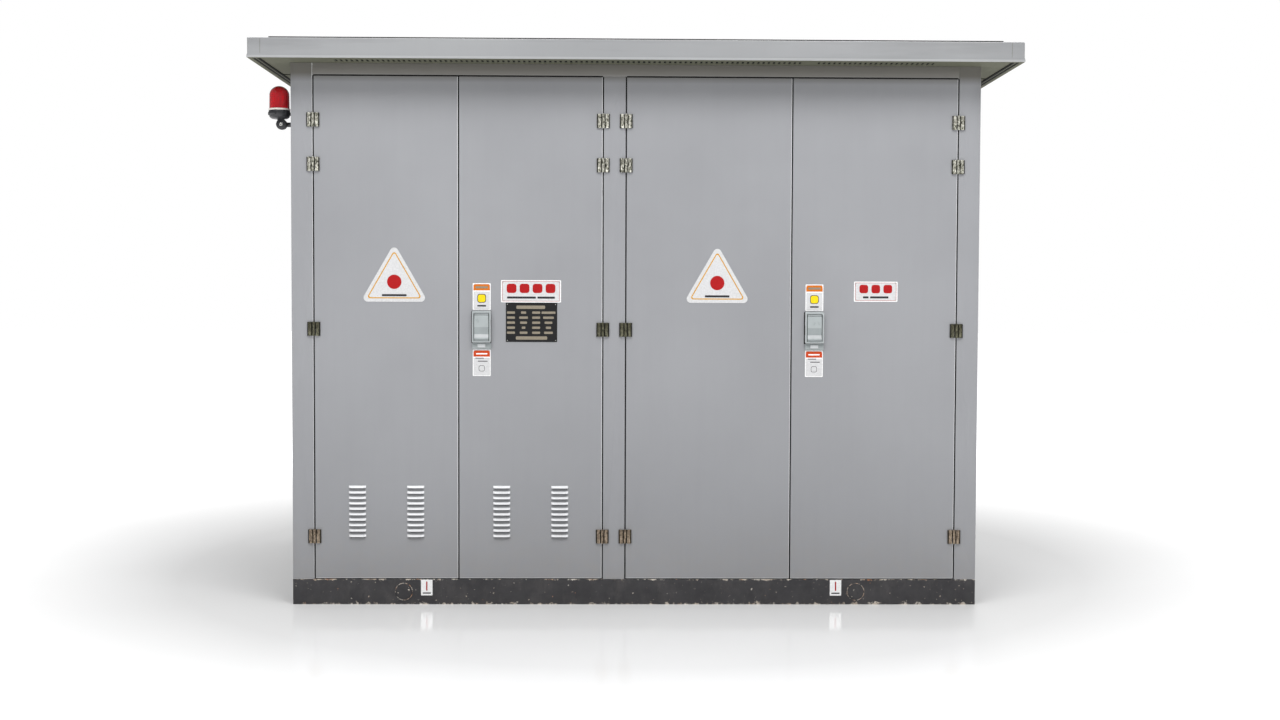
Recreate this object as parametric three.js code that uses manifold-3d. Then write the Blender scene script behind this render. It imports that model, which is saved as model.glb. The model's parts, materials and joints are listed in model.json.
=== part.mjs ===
// Prefabricated compact substation: a steel kiosk with a transformer room on the left, a low-voltage
// room on the right, a hipped roof with vented eaves, and a rotating beacon on its left wall.
// Millimetres, +Z up. The origin is at the middle of the footprint, on the ground. The front faces -Y.
import * as THREE from 'three';
import { mergeVertices } from 'three/addons/utils/BufferGeometryUtils.js';
import Module from 'manifold-3d';

// ---------------------------------------------------------------- driving dimensions
const bodyWidth = 2680;
const bodyDepth = 2000;
const wallTop = 2108;
const gap = 0.3;                  // between pieces that touch

const baseHeight = 100;           // rolled channel of the base frame
const channelFlange = 48;
const channelSteel = 5.3;

const eave = 135;                 // roof overhang, the same on all four sides
const fasciaBottom = 2104;
const fasciaTop = 2180;
const roofTop = 2242;
const hipRun = 340;
const roofSheet = 3;
const fasciaLip = 18;

const postWidth = 86;
const postDepth = 80;
const postSteel = 2.5;
const mullionLeft = -130;
const mullionWidth = 89;
const headerBottom = 2061;
const stopReach = 18;             // door stop flange, beyond the post
const stopSetback = 43;           // door stop flange, behind the front face
const stopSteel = 3;

const leafGap = 5;
const leafBottom = 103;
const leafTop = 2059;
const leafDepth = 38;
const leafSkin = 2;

const hingeHeights = [268, 1079, 1718, 1889];
const hingeHeight = 54;
const hingeReach = 25;
const hingeLeafSteel = 5;
const knuckleRadius = 6;
const hingePinRadius = 3;
const hingeBoreRadius = 3.6;
const studSize = 8;
const studInset = 16;
const backingSteel = 4;

const louvreWidth = 67;
const louvreSlot = 7;
const louvrePitch = 21.3;
const louvreCount = 10;
const louvreBottom = 265;         // middle of the lowest slot

const lockInset = 90;             // lock centre from the meeting edge
const lockMiddle = 1078;
const lockWidth = 73;
const lockHeight = 150;
const lockDepth = 18;
const flapWidth = 60;
const flapHeight = 108;
const flapMiddle = 1088;

const liftingPinHeight = 50;
const liftingPinLeft = -907;
const liftingPinRight = 868;
const liftingPinRadius = 31;
const liftingPinLength = 190;
const sleeveLength = 65;

const beaconX = -1399;
const beaconY = -930;
const knuckleX = -1390;
const knuckleZ = 1878;
const beaconBaseBottom = 1899;
const domeBottom = 1933;
const domeTop = 2027;
const domeRadius = 40;

// ---------------------------------------------------------------- worked-out places
const halfWidth = bodyWidth / 2;
const halfDepth = bodyDepth / 2;
const front = -halfDepth;
const mullionRight = mullionLeft + mullionWidth;
const leftHingeLine = -halfWidth + postWidth;
const rightHingeLine = halfWidth - postWidth;
const leftLeafWidth = (mullionLeft - leftHingeLine) / 2;
const rightLeafWidth = (rightHingeLine - mullionRight) / 2;
const transformerX = (leftHingeLine + mullionLeft) / 2;
const floorTop = baseHeight + gap + 3;
const cableGapFront = -200;       // open strip between the floor sheets, for cables
const cableGapRear = 60;

// ---------------------------------------------------------------- solids
const wasm = await Module();
wasm.setup();

function solid(geometry) {
  const bare = geometry.clone();
  bare.deleteAttribute('normal');
  bare.deleteAttribute('uv');
  const merged = mergeVertices(bare, 1e-4);
  const vertProperties = new Float32Array(merged.attributes.position.array);
  const triVerts = new Uint32Array(merged.index.array);
  return new wasm.Manifold(new wasm.Mesh({ numProp: 3, vertProperties, triVerts }));
}

function surface(manifold) {
  const mesh = manifold.getMesh();
  const geometry = new THREE.BufferGeometry();
  geometry.setAttribute('position', new THREE.BufferAttribute(new Float32Array(mesh.vertProperties), 3));
  geometry.setIndex(new THREE.BufferAttribute(new Uint32Array(mesh.triVerts), 1));
  geometry.computeVertexNormals();
  return geometry;
}

// A box between two values on each axis, in either order.
function block([x0, x1], [y0, y1], [z0, z1]) {
  const geometry = new THREE.BoxGeometry(Math.abs(x1 - x0), Math.abs(y1 - y0), Math.abs(z1 - z0));
  geometry.translate((x0 + x1) / 2, (y0 + y1) / 2, (z0 + z1) / 2);
  return solid(geometry);
}

function extruded(points, length, matrix) {
  const shape = new THREE.Shape(points.map(([u, v]) => new THREE.Vector2(u, v)));
  const geometry = new THREE.ExtrudeGeometry(shape, { depth: length, bevelEnabled: false });
  return solid(geometry.applyMatrix4(matrix));
}

const xAxis = new THREE.Vector3(1, 0, 0);
const yAxis = new THREE.Vector3(0, 1, 0);
const zAxis = new THREE.Vector3(0, 0, 1);

// Outline in Y and Z, swept from x0 to x1.
function prismX(points, x0, x1) {
  const matrix = new THREE.Matrix4().makeBasis(yAxis, zAxis, xAxis).setPosition(x0, 0, 0);
  return extruded(points, x1 - x0, matrix);
}

// Outline in X and Z, swept from y0 to y1.
function prismY(points, y0, y1) {
  const backwards = yAxis.clone().negate();
  const matrix = new THREE.Matrix4().makeBasis(xAxis, zAxis, backwards).setPosition(0, y1, 0);
  return extruded(points, y1 - y0, matrix);
}

// Outline in X and Y, swept from z0 to z1.
function prismZ(points, z0, z1) {
  return extruded(points, z1 - z0, new THREE.Matrix4().setPosition(0, 0, z0));
}

function rodY(radius, [x, z], [y0, y1], sides = 16) {
  const geometry = new THREE.CylinderGeometry(radius, radius, y1 - y0, sides);
  geometry.translate(x, (y0 + y1) / 2, z);
  return solid(geometry);
}

function rodZ(radius, [x, y], [z0, z1], sides = 16) {
  const geometry = new THREE.CylinderGeometry(radius, radius, z1 - z0, sides);
  geometry.rotateX(Math.PI / 2);
  geometry.translate(x, y, (z0 + z1) / 2);
  return solid(geometry);
}

function rodX(radius, [y, z], [x0, x1], sides = 16) {
  const geometry = new THREE.CylinderGeometry(radius, radius, x1 - x0, sides);
  geometry.rotateZ(Math.PI / 2);
  geometry.translate((x0 + x1) / 2, y, z);
  return solid(geometry);
}

// A turned solid about a vertical axis. The profile is [radius, height], from the bottom up.
function turned(profile, [x, y], sides = 16) {
  const geometry = new THREE.LatheGeometry(profile.map(([r, z]) => new THREE.Vector2(r, z)), sides);
  geometry.rotateX(Math.PI / 2);
  geometry.translate(x, y, 0);
  return solid(geometry);
}

// ---------------------------------------------------------------- materials
function paint(color, roughness, metalness = 0.1) {
  return new THREE.MeshStandardMaterial({ color, roughness, metalness });
}

const greyPaint = paint(0xa3a5a9, 0.5);
const blackPaint = paint(0x3a383a, 0.6);
const roofPaint = paint(0xb4b7bb, 0.5);
const nickel = paint(0xb9b7a8, 0.3, 0.9);
const lockPlastic = paint(0xb6bdbf, 0.4, 0);
const darkPlastic = paint(0x2c2d30, 0.5, 0);
const redPlastic = paint(0xb00018, 0.15, 0);
const silver = paint(0xd8d8d6, 0.2, 0.9);
const tankPaint = paint(0x7f8b8c, 0.5);
const porcelain = paint(0x6b3424, 0.25, 0);
const breakerPlastic = paint(0x3b3f45, 0.5, 0);
const zinc = paint(0xc4c6c4, 0.4, 0.7);

const substation = new THREE.Group();

function add(parent, name, manifold, material) {
  const mesh = new THREE.Mesh(surface(manifold), material);
  mesh.name = name;
  parent.add(mesh);
}

// ---------------------------------------------------------------- base frame
// Channel section with its web on the outside. Side is -1 or 1 along the section's own axis.
function channelOutline(webOuter, side) {
  const webInner = webOuter - side * channelSteel;
  const tip = webOuter - side * channelFlange;
  const upper = baseHeight - channelSteel;
  return [
    [webOuter, 0], [tip, 0], [tip, channelSteel], [webInner, channelSteel],
    [webInner, upper], [tip, upper], [tip, baseHeight], [webOuter, baseHeight],
  ];
}

// Front or rear channel: full-width web, flanges cut back at the corners, and two lifting sleeves.
function longChannel(side) {
  const web = side * halfDepth;
  const flangeEnd = halfWidth - channelFlange - gap;
  let channel = prismX(channelOutline(web, side), -flangeEnd, flangeEnd);
  const webSpan = [web, web - side * channelSteel];
  channel = channel.add(block([-halfWidth, halfWidth], webSpan, [0, baseHeight]));
  for (const x of [liftingPinLeft, liftingPinRight]) {
    const inner = web - side * sleeveLength;
    const sleeveSpan = [Math.min(web, inner), Math.max(web, inner)];
    const boreSpan = [sleeveSpan[0] - 1, sleeveSpan[1] + 1];
    channel = channel.add(rodY(liftingPinRadius + 7, [x, liftingPinHeight], sleeveSpan));
    channel = channel.subtract(rodY(liftingPinRadius + 1, [x, liftingPinHeight], boreSpan));
  }
  return channel;
}

function liftingPin(side) {
  const outer = side * (halfDepth + 2);
  const inner = side * (halfDepth - liftingPinLength);
  const collar = side * (halfDepth - liftingPinLength + 10);
  const shaft = rodY(liftingPinRadius, [0, 0], [Math.min(outer, inner), Math.max(outer, inner)]);
  return shaft.add(rodY(liftingPinRadius + 9, [0, 0], [Math.min(collar, inner), Math.max(collar, inner)]));
}

function buildBase() {
  const base = new THREE.Group();
  add(base, 'base_front_channel', longChannel(-1), blackPaint);
  add(base, 'base_rear_channel', longChannel(1), blackPaint);
  const sideEnd = halfDepth - channelSteel - gap;
  for (const [name, side] of [['base_left_channel', -1], ['base_right_channel', 1]]) {
    add(base, name, prismY(channelOutline(side * halfWidth, side), -sideEnd, sideEnd), blackPaint);
  }
  const beamEnd = halfWidth - channelFlange - gap;
  for (const [name, y] of [['front_cross_beam', -330], ['rear_cross_beam', 330]]) {
    add(base, name, prismX(channelOutline(y, 1), -beamEnd, beamEnd), blackPaint);
  }
  for (const [end, side] of [['front', -1], ['rear', 1]]) {
    for (const [hand, x] of [['left', liftingPinLeft], ['right', liftingPinRight]]) {
      const holder = new THREE.Group();
      holder.position.set(x, 0, liftingPinHeight);
      add(holder, `lifting_pin_${end}_${hand}`, liftingPin(side), blackPaint);
      base.add(holder);
    }
  }
  return base;
}

// Front or rear floor sheet, from the cable gap to an upstand that the doors or panels close against.
function floorPlate(side, gapEdge) {
  const bottom = baseHeight + gap;
  const thickness = [bottom, floorTop];
  const sillX = halfWidth - postWidth - stopReach - 2;
  const sillY = side * (halfDepth - stopSetback);
  const wallX = halfWidth - leafDepth - 1;
  const postY = side * (halfDepth - postDepth - gap);
  const upstand = block([-sillX, sillX], [sillY, sillY - side * stopSteel], [bottom, bottom + stopReach]);
  const plate = block([-wallX, wallX], [gapEdge, postY], thickness);
  const sill = block([-sillX, sillX], [gapEdge, sillY], thickness).add(upstand);
  const notchX = [mullionLeft - stopReach - 2, mullionRight + stopReach + 2];
  const notch = block(notchX, [postY, side * halfDepth], [bottom - 1, bottom + stopReach + 1]);
  return plate.add(sill).subtract(notch);
}

// ---------------------------------------------------------------- body frame
// Stud holes at x through the face of a post or door, one for each hinge.
function studHoles(x) {
  const half = studSize / 2 + gap;
  return hingeHeights.map((z) => block([x - half, x + half], [-1, postSteel + 1], [z - half, z + half]));
}

// Box-section post with a stop flange on each listed hand. Local y runs from the face inwards.
function post(width, stops, top) {
  let section = block([0, width], [0, postDepth], [baseHeight + gap, top]);
  const hollow = [[postSteel, width - postSteel], [postSteel, postDepth - postSteel]];
  section = section.subtract(block(...hollow, [baseHeight - 1, top + 1]));
  for (const hand of stops) {
    const from = hand < 0 ? -stopReach : width - 0.5;
    const to = hand < 0 ? 0.5 : width + stopReach;
    const depth = [stopSetback, stopSetback + stopSteel];
    section = section.add(block([from, to], depth, [baseHeight + gap, headerBottom - gap]));
  }
  return section;
}

// A group whose local frame starts at x on the front face, or is turned round onto the rear face.
function faceGroup(x, rear = false) {
  const group = new THREE.Group();
  group.position.set(x, rear ? halfDepth : front, 0);
  group.rotation.z = rear ? Math.PI : 0;
  return group;
}

function buildFrame() {
  const frame = new THREE.Group();
  const cornerTop = wallTop - gap;
  const mullionTop = headerBottom - gap;
  const cornerWidth = postWidth - leafGap / 2;
  const centreWidth = mullionWidth - leafGap;
  const posts = [
    ['left', -halfWidth, cornerWidth, [1], cornerTop, [cornerWidth - studInset]],
    ['centre', mullionLeft + leafGap / 2, centreWidth, [-1, 1], mullionTop,
      [studInset, centreWidth - studInset]],
    ['right', rightHingeLine + leafGap / 2, cornerWidth, [-1], cornerTop, [studInset]],
  ];
  for (const [hand, x, width, stops, top, studs] of posts) {
    const holder = faceGroup(x);
    let piece = post(width, stops, top);
    for (const studX of studs) {
      for (const hole of studHoles(studX)) piece = piece.subtract(hole);
    }
    add(holder, `front_${hand}_post`, piece, greyPaint);
    frame.add(holder);
    const rearHolder = faceGroup(x + width, true);
    add(rearHolder, `rear_${hand}_post`, post(width, stops.map((side) => -side), top), greyPaint);
    frame.add(rearHolder);
  }
  for (const [name, rear] of [['front_header', false], ['rear_header', true]]) {
    const holder = faceGroup(0, rear);
    const half = rightHingeLine + leafGap / 2 - gap;
    const hollow = [[-half - 1, half + 1], [postSteel, postDepth - postSteel]];
    let header = block([-half, half], [0, postDepth], [headerBottom, wallTop - gap]);
    header = header.subtract(block(...hollow, [headerBottom + postSteel, wallTop - gap - postSteel]));
    add(holder, name, header, greyPaint);
    frame.add(holder);
  }
  return frame;
}

// Side wall: a sheet pan between the corner posts, folded edges inwards.
function sideWall(side) {
  const outer = side * halfWidth;
  const halfLength = halfDepth - postDepth - gap;
  const zSpan = [baseHeight + gap, wallTop - gap];
  const shell = block([outer, outer - side * leafDepth], [-halfLength, halfLength], zSpan);
  const inside = block(
    [outer - side * leafSkin, outer - side * (leafDepth + 1)],
    [-halfLength + leafSkin, halfLength - leafSkin],
    [zSpan[0] + leafSkin, zSpan[1] - leafSkin],
  );
  return shell.subtract(inside);
}

// Double-skinned wall between the rooms, open along its top. The busbars run under it.
function partitionWall() {
  const x = [mullionLeft + 30, mullionLeft + 60];
  const reach = halfDepth - postDepth - gap;
  const wall = block(x, [-reach, reach], [floorTop + gap, wallTop - gap]);
  const inside = [[x[0] + leafSkin, x[1] - leafSkin], [leafSkin - reach, reach - leafSkin]];
  return wall.subtract(block(...inside, [floorTop + gap + leafSkin, wallTop + 1]));
}

// ---------------------------------------------------------------- roof
// Hipped shape: two prisms with sloping shoulders, crossed. Inset makes the inner side of the sheet.
function hip(inset) {
  const outline = (half) => [
    [-half + inset, fasciaBottom - 1], [half - inset, fasciaBottom - 1], [half - inset, fasciaTop - inset],
    [half - hipRun, roofTop - inset], [-half + hipRun, roofTop - inset], [-half + inset, fasciaTop - inset],
  ];
  const halfX = halfWidth + eave;
  const halfY = halfDepth + eave;
  return prismY(outline(halfX), -halfY, halfY).intersect(prismX(outline(halfY), -halfX, halfX));
}

function roofCover() {
  const halfX = halfWidth + eave;
  const halfY = halfDepth + eave;
  const below = [fasciaBottom - 2, fasciaBottom];
  const lipTop = fasciaBottom + roofSheet;
  const keep = block([-halfX, halfX], [-halfY, halfY], [lipTop, roofTop]);
  const mouth = block(
    [-halfX + fasciaLip, halfX - fasciaLip],
    [-halfY + fasciaLip, halfY - fasciaLip],
    [fasciaBottom - 2, lipTop + 1],
  );
  const outer = hip(0).subtract(block([-halfX - 1, halfX + 1], [-halfY - 1, halfY + 1], below));
  return outer.subtract(hip(roofSheet).intersect(keep)).subtract(mouth);
}

// Vented eaves sheets: front and rear run the full width, left and right fit between them.
function buildSoffits() {
  const soffits = new THREE.Group();
  const height = [wallTop, wallTop + 2];
  const outX = halfWidth + eave - roofSheet - 1;
  const outY = halfDepth + eave - roofSheet - 1;
  const strips = [
    ['front_soffit', [-outX, outX], [-outY, front + 30]],
    ['rear_soffit', [-outX, outX], [-front - 30, outY]],
    ['left_soffit', [-outX, -halfWidth + 30], [front + 30 + gap, -front - 30 - gap]],
    ['right_soffit', [halfWidth - 30, outX], [front + 30 + gap, -front - 30 - gap]],
  ];
  for (const [name, x, y] of strips) add(soffits, name, block(x, y, height), roofPaint);
  return soffits;
}

// ---------------------------------------------------------------- doors and panels
// Folded sheet pan in a face group's frame, from one distance to another on the given hand.
function pan(hand, from, to) {
  const edges = (inset) => [hand * (from + inset), hand * (to - inset)];
  const skin = block(edges(0), [0, leafDepth], [leafBottom, leafTop]);
  const insideZ = [leafBottom + leafSkin, leafTop - leafSkin];
  return skin.subtract(block(edges(leafSkin), [leafSkin, leafDepth + 1], insideZ));
}

function withLouvres(panel, middles) {
  let result = panel;
  for (const x of middles) {
    for (let row = 0; row < louvreCount; row += 1) {
      const z = louvreBottom + row * louvrePitch;
      const slotX = [x - louvreWidth / 2 + 4, x + louvreWidth / 2 - 4];
      result = result.subtract(block(slotX, [-1, leafSkin + 1], [z - louvreSlot / 2, z + louvreSlot / 2]));
    }
  }
  return result;
}

// Steel strip behind the sheet that the studs of one row of hinges pass into.
function backingY(steelBehind) {
  return [steelBehind + gap, steelBehind + gap + backingSteel];
}

const backingZ = [hingeHeights[0] - hingeHeight, hingeHeights[3] + hingeHeight];

// One side of a door's four surface hinges: leaf, half knuckle and studs, joined by the backing
// strip behind the sheet. The post's side carries the pin and lower knuckle, the door's the upper.
// Side is -1 or 1, towards the leaf from the hinge line.
function hingeLeaves(side, isDoor, steelBehind, line = 0) {
  const across = (from, to) => [line + side * from, line + side * to];
  const plateY = [-gap - hingeLeafSteel, -gap];
  const stripY = backingY(steelBehind);
  const stud = leafGap / 2 + studInset;
  let set = block(across(leafGap / 2 + leafSkin + 1, stud + 12), stripY, backingZ);
  for (const z of hingeHeights) {
    const low = z - hingeHeight / 2;
    const high = z + hingeHeight / 2;
    const half = isDoor ? [z + gap, high] : [low, z];
    set = set.add(block(across(knuckleRadius + 1, hingeReach), plateY, [low, high]));
    set = set.add(block(across(0, knuckleRadius + 2), plateY, half));
    set = set.add(rodZ(knuckleRadius, [line, -knuckleRadius], half, 8));
    if (isDoor) {
      set = set.subtract(rodZ(hingeBoreRadius, [line, -knuckleRadius], [z - 1, high + 1], 8));
    } else {
      set = set.add(rodZ(hingePinRadius, [line, -knuckleRadius], [z - 1, high + 2], 6));
    }
    const studX = across(stud - studSize / 2, stud + studSize / 2);
    set = set.add(block(studX, [-gap - 1, stripY[0] + 1], [z - studSize / 2, z + studSize / 2]));
  }
  return set;
}

// Post halves of both middle doors' hinges, whose backing strips are one wide plate in the post.
function centrePostLeaves() {
  const stripX = [leafGap / 2 + leafSkin + 1, mullionWidth - leafGap / 2 - leafSkin - 1];
  const plate = block(stripX, backingY(postSteel), backingZ);
  const leftLeaves = hingeLeaves(1, false, postSteel);
  const rightLeaves = hingeLeaves(-1, false, postSteel, mullionWidth);
  return plate.add(leftLeaves).add(rightLeaves);
}

function doorPanel(hand, width, louvreMiddles, lockX) {
  let panel = pan(hand, leafGap / 2, width - leafGap / 2);
  for (const hole of studHoles(hand * (leafGap / 2 + studInset))) panel = panel.subtract(hole);
  if (lockX !== null) panel = panel.subtract(rodY(9, [lockX, flapMiddle], [-1, leafSkin + 1], 12));
  return withLouvres(panel, louvreMiddles);
}

// Lock in its own frame: x across the lock, y from the door's face inwards, z from the ground.
function lockHousing() {
  const outer = [[-lockWidth / 2, lockWidth / 2], [-gap - lockDepth, -gap]];
  const zSpan = [lockMiddle - lockHeight / 2, lockMiddle + lockHeight / 2];
  const recessX = [-flapWidth / 2, flapWidth / 2];
  const recessZ = [flapMiddle - flapHeight / 2, flapMiddle + flapHeight / 2];
  const recess = block(recessX, [-lockDepth - 1, -3], recessZ);
  return block(...outer, zSpan).subtract(recess).subtract(rodY(9, [0, flapMiddle], [-4, 0], 12));
}

function lockFlap() {
  const clear = 0.5;
  const x = [-flapWidth / 2 + clear, flapWidth / 2 - clear];
  const z = [flapMiddle - flapHeight / 2 + clear, flapMiddle + flapHeight / 2 - clear];
  return block(x, [-lockDepth + 0.5, -lockDepth + 3.5], z);
}

// Wing knob on a spindle that runs through the sheet to a drive disc behind it.
function lockKnob() {
  const grip = block([-7, 7], [-13, -6], [flapMiddle - 26, flapMiddle + 26]);
  const collar = rodY(13, [0, flapMiddle], [-7, -3.5], 12);
  const spindle = rodY(7, [0, flapMiddle], [-5, 14], 8);
  return grip.add(collar).add(spindle).add(rodY(20, [0, flapMiddle], [9, 14], 12));
}

function buildDoors() {
  const doors = new THREE.Group();
  const leftLeaf = { number: 1, line: leftHingeLine, hand: 1, width: leftLeafWidth };
  const leftLockLeaf = { number: 2, line: mullionLeft, hand: -1, width: leftLeafWidth };
  const rightLeaf = { number: 3, line: mullionRight, hand: 1, width: rightLeafWidth };
  const rightLockLeaf = { number: 4, line: rightHingeLine, hand: -1, width: rightLeafWidth };
  const leaves = [
    { ...leftLeaf, louvres: [163, 392], lock: false, postLeaves: 'left_post_hinge_leaves' },
    { ...leftLockLeaf, louvres: [-168, -393], lock: true },
    { ...rightLeaf, louvres: [], lock: false },
    { ...rightLockLeaf, louvres: [], lock: true, postLeaves: 'right_post_hinge_leaves' },
  ];
  for (const { number, line, hand, width, louvres, lock, postLeaves } of leaves) {
    const holder = faceGroup(line);
    const lockX = lock ? hand * (width - lockInset) : null;
    add(holder, `door_${number}_panel`, doorPanel(hand, width, louvres, lockX), greyPaint);
    add(holder, `door_${number}_hinge_leaves`, hingeLeaves(hand, true, leafSkin), nickel);
    if (postLeaves) add(holder, postLeaves, hingeLeaves(-hand, false, postSteel), nickel);
    if (lock) {
      const lockHolder = new THREE.Group();
      lockHolder.position.x = lockX;
      add(lockHolder, `lock_housing_${number}`, lockHousing(), lockPlastic);
      add(lockHolder, `lock_flap_${number}`, lockFlap(), lockPlastic);
      add(lockHolder, `lock_knob_${number}`, lockKnob(), darkPlastic);
      holder.add(lockHolder);
    }
    doors.add(holder);
  }
  const centreHolder = faceGroup(mullionLeft);
  add(centreHolder, 'centre_post_hinge_leaves', centrePostLeaves(), nickel);
  doors.add(centreHolder);
  return doors;
}

// Fixed rear panels, one for each room, in the same rebates as the doors have in front.
function buildRearPanels() {
  const panels = new THREE.Group();
  const rooms = [
    ['transformer_rear_panel', leftHingeLine, mullionLeft, [-281, -843]],
    ['switchgear_rear_panel', mullionRight, rightHingeLine, []],
  ];
  for (const [name, from, to, louvres] of rooms) {
    const holder = faceGroup(from, true);
    const panel = pan(-1, leafGap / 2, to - from - leafGap / 2);
    add(holder, name, withLouvres(panel, louvres), greyPaint);
    panels.add(holder);
  }
  return panels;
}

// ---------------------------------------------------------------- beacon
function beaconBracket() {
  const wall = -halfWidth - gap;
  const plate = block([wall - 5, wall], [beaconY - 26, beaconY + 26], [knuckleZ - 34, knuckleZ + 42]);
  const arm = rodX(8, [beaconY + 8, knuckleZ], [knuckleX + 6, wall - 2], 12);
  return plate.add(arm).add(rodY(21, [knuckleX, knuckleZ], [beaconY + gap, beaconY + 14]));
}

function beaconBase() {
  const profile = [
    [0, beaconBaseBottom], [34, beaconBaseBottom], [42, beaconBaseBottom + 8], [42, domeBottom - 1],
    [14, domeBottom - 1], [14, domeBottom + 26], [11, domeBottom + 50], [0, domeBottom + 56],
  ];
  const disc = rodY(21, [knuckleX, knuckleZ], [beaconY - 13, beaconY]);
  const neckX = [knuckleX - 16, knuckleX + 8];
  const neck = block(neckX, [beaconY - 13, beaconY], [knuckleZ, beaconBaseBottom + 2]);
  return turned(profile, [beaconX, beaconY]).add(disc).add(neck);
}

function beaconDome() {
  const straight = 54;
  const arcPoints = (radius, height) => [0.25, 0.5, 0.75].map((part) => {
    const angle = part * Math.PI / 2;
    return [radius * Math.cos(angle), domeBottom + straight + height * Math.sin(angle)];
  });
  const rise = domeTop - domeBottom - straight;
  const sheet = 2.5;
  const outer = [[domeRadius, domeBottom], [domeRadius, domeBottom + straight],
    ...arcPoints(domeRadius, rise)];
  const innerRadius = domeRadius - sheet;
  const inner = [[innerRadius, domeBottom - 1], [innerRadius, domeBottom + straight],
    ...arcPoints(innerRadius, rise - sheet)];
  const shell = turned([[0, domeBottom], ...outer, [0, domeTop]], [beaconX, beaconY]);
  return shell.subtract(turned([[0, domeBottom - 1], ...inner, [0, domeTop - sheet]], [beaconX, beaconY]));
}

// Half-round mirror on a turntable ring that runs round the lamp holder.
function beaconReflector() {
  const middle = [beaconX, beaconY];
  const low = domeBottom + 2;
  const ring = rodZ(31, middle, [low, low + 3]).subtract(rodZ(17, middle, [low - 1, low + 4]));
  const tube = rodZ(29, middle, [low + 1, low + 62]).subtract(rodZ(26, middle, [low, low + 63]));
  const half = block([beaconX - 40, beaconX + 40], [beaconY + 2, beaconY + 40], [low, low + 64]);
  return ring.add(tube.intersect(half));
}

function buildBeacon() {
  const beacon = new THREE.Group();
  add(beacon, 'beacon_bracket', beaconBracket(), darkPlastic);
  add(beacon, 'beacon_base', beaconBase(), darkPlastic);
  add(beacon, 'beacon_dome', beaconDome(), redPlastic);
  add(beacon, 'beacon_reflector', beaconReflector(), silver);
  return beacon;
}

// ---------------------------------------------------------------- transformer
const tankHalfX = 260;
const tankHalfY = 500;
const tankBottom = 180;
const tankTop = 940;
const coverTop = tankTop + gap + 12;

// Corrugated tank on two skids. Its thick walls stand for the core, windings and oil.
function transformerTank() {
  let tank = block([-tankHalfX, tankHalfX], [-tankHalfY, tankHalfY], [tankBottom, tankTop]);
  tank = tank.subtract(block([-200, 200], [-400, 400], [tankBottom + 190, tankTop + 1]));
  tank = tank.add(block([-tankHalfX - 40, tankHalfX + 40], [-tankHalfY - 40, tankHalfY + 40],
    [tankTop - 14, tankTop]).subtract(block([-200, 200], [-400, 400], [tankTop - 20, tankTop + 1])));
  const finZ = [tankBottom + 60, tankTop - 60];
  const finPitch = 76;
  const finReach = 140;
  for (let index = -6; index <= 6; index += 1) {
    const y = index * finPitch;
    const reach = tankHalfX + finReach;
    tank = tank.add(block([-reach, -tankHalfX + 1], [y - 5, y + 5], finZ));
    tank = tank.add(block([tankHalfX - 1, reach], [y - 5, y + 5], finZ));
  }
  for (const x of [-180, 180]) {
    tank = tank.add(block([x - 30, x + 30], [-440, 440], [floorTop + gap, tankBottom + 1]));
  }
  return tank;
}

function bushingProfile(bottom, top, core, sheds, shedReach) {
  const pitch = (top - bottom) / sheds;
  const profile = [[0, bottom]];
  for (let index = 0; index < sheds; index += 1) {
    const z = bottom + index * pitch;
    profile.push([core, z], [core + shedReach, z + pitch * 0.45], [core, z + pitch * 0.6]);
  }
  profile.push([core, top], [0, top]);
  return profile;
}

// Porcelain bushings in one row on their common clamping bar.
function bushingRow(xs, y, height, core, sheds, shedReach) {
  const bottom = coverTop + gap;
  const barX = [xs[0] - core - 30, xs[xs.length - 1] + core + 30];
  let row = block(barX, [y - core - 25, y + core + 25], [bottom, bottom + 14]);
  for (const x of xs) {
    const top = bottom + 14 + height;
    row = row.add(turned(bushingProfile(bottom + 13, top, core, sheds, shedReach), [x, y], 8));
    row = row.add(rodZ(9, [x, y], [top - 1, top + 34], 8));
  }
  return row;
}

function buildTransformer() {
  const transformer = new THREE.Group();
  transformer.position.set(transformerX, 0, 0);
  const coverX = [-tankHalfX - 40, tankHalfX + 40];
  const coverY = [-tankHalfY - 40, tankHalfY + 40];
  add(transformer, 'transformer_tank', transformerTank(), tankPaint);
  add(transformer, 'transformer_cover', block(coverX, coverY, [tankTop + gap, coverTop]), tankPaint);
  add(transformer, 'hv_bushings', bushingRow([-190, 0, 190], 260, 210, 34, 3, 22), porcelain);
  add(transformer, 'lv_bushings', bushingRow([-210, -70, 70, 210], -260, 90, 30, 1, 12), porcelain);
  const knobZ = coverTop + gap;
  const knob = rodZ(34, [0, 40], [knobZ, knobZ + 30]);
  const grip = block([-9, 9], [-15, 95], [knobZ + 29, knobZ + 48]);
  add(transformer, 'tap_changer_handle', knob.add(grip), darkPlastic);
  return transformer;
}

// ---------------------------------------------------------------- low-voltage switchboard
const boardFront = -800;
const boardX = [120, 1120];
const breakerX = [200, 520];
const breakerZ = [1180, 1560];
const breakerFace = boardFront - 40;
const breakerShaft = [360, 1290];
const feederX = [620, 1060];
const feederZ = [1200, 1540];

function switchboardPanel() {
  const depth = 260;
  const steel = 3;
  let board = block(boardX, [boardFront, boardFront + depth], [floorTop + gap, 1950]);
  const inside = [[boardX[0] + steel, boardX[1] - steel], [boardFront + steel, boardFront + depth + 1]];
  board = board.subtract(block(...inside, [floorTop, 1951]));
  const throughY = [boardFront - 1, boardFront + steel + 1];
  const cutOut = (x, z) => block([x[0] - 1, x[1] + 1], throughY, [z[0] - 1, z[1] + 1]);
  return board.subtract(cutOut(breakerX, breakerZ)).subtract(cutOut(feederX, feederZ));
}

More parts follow.
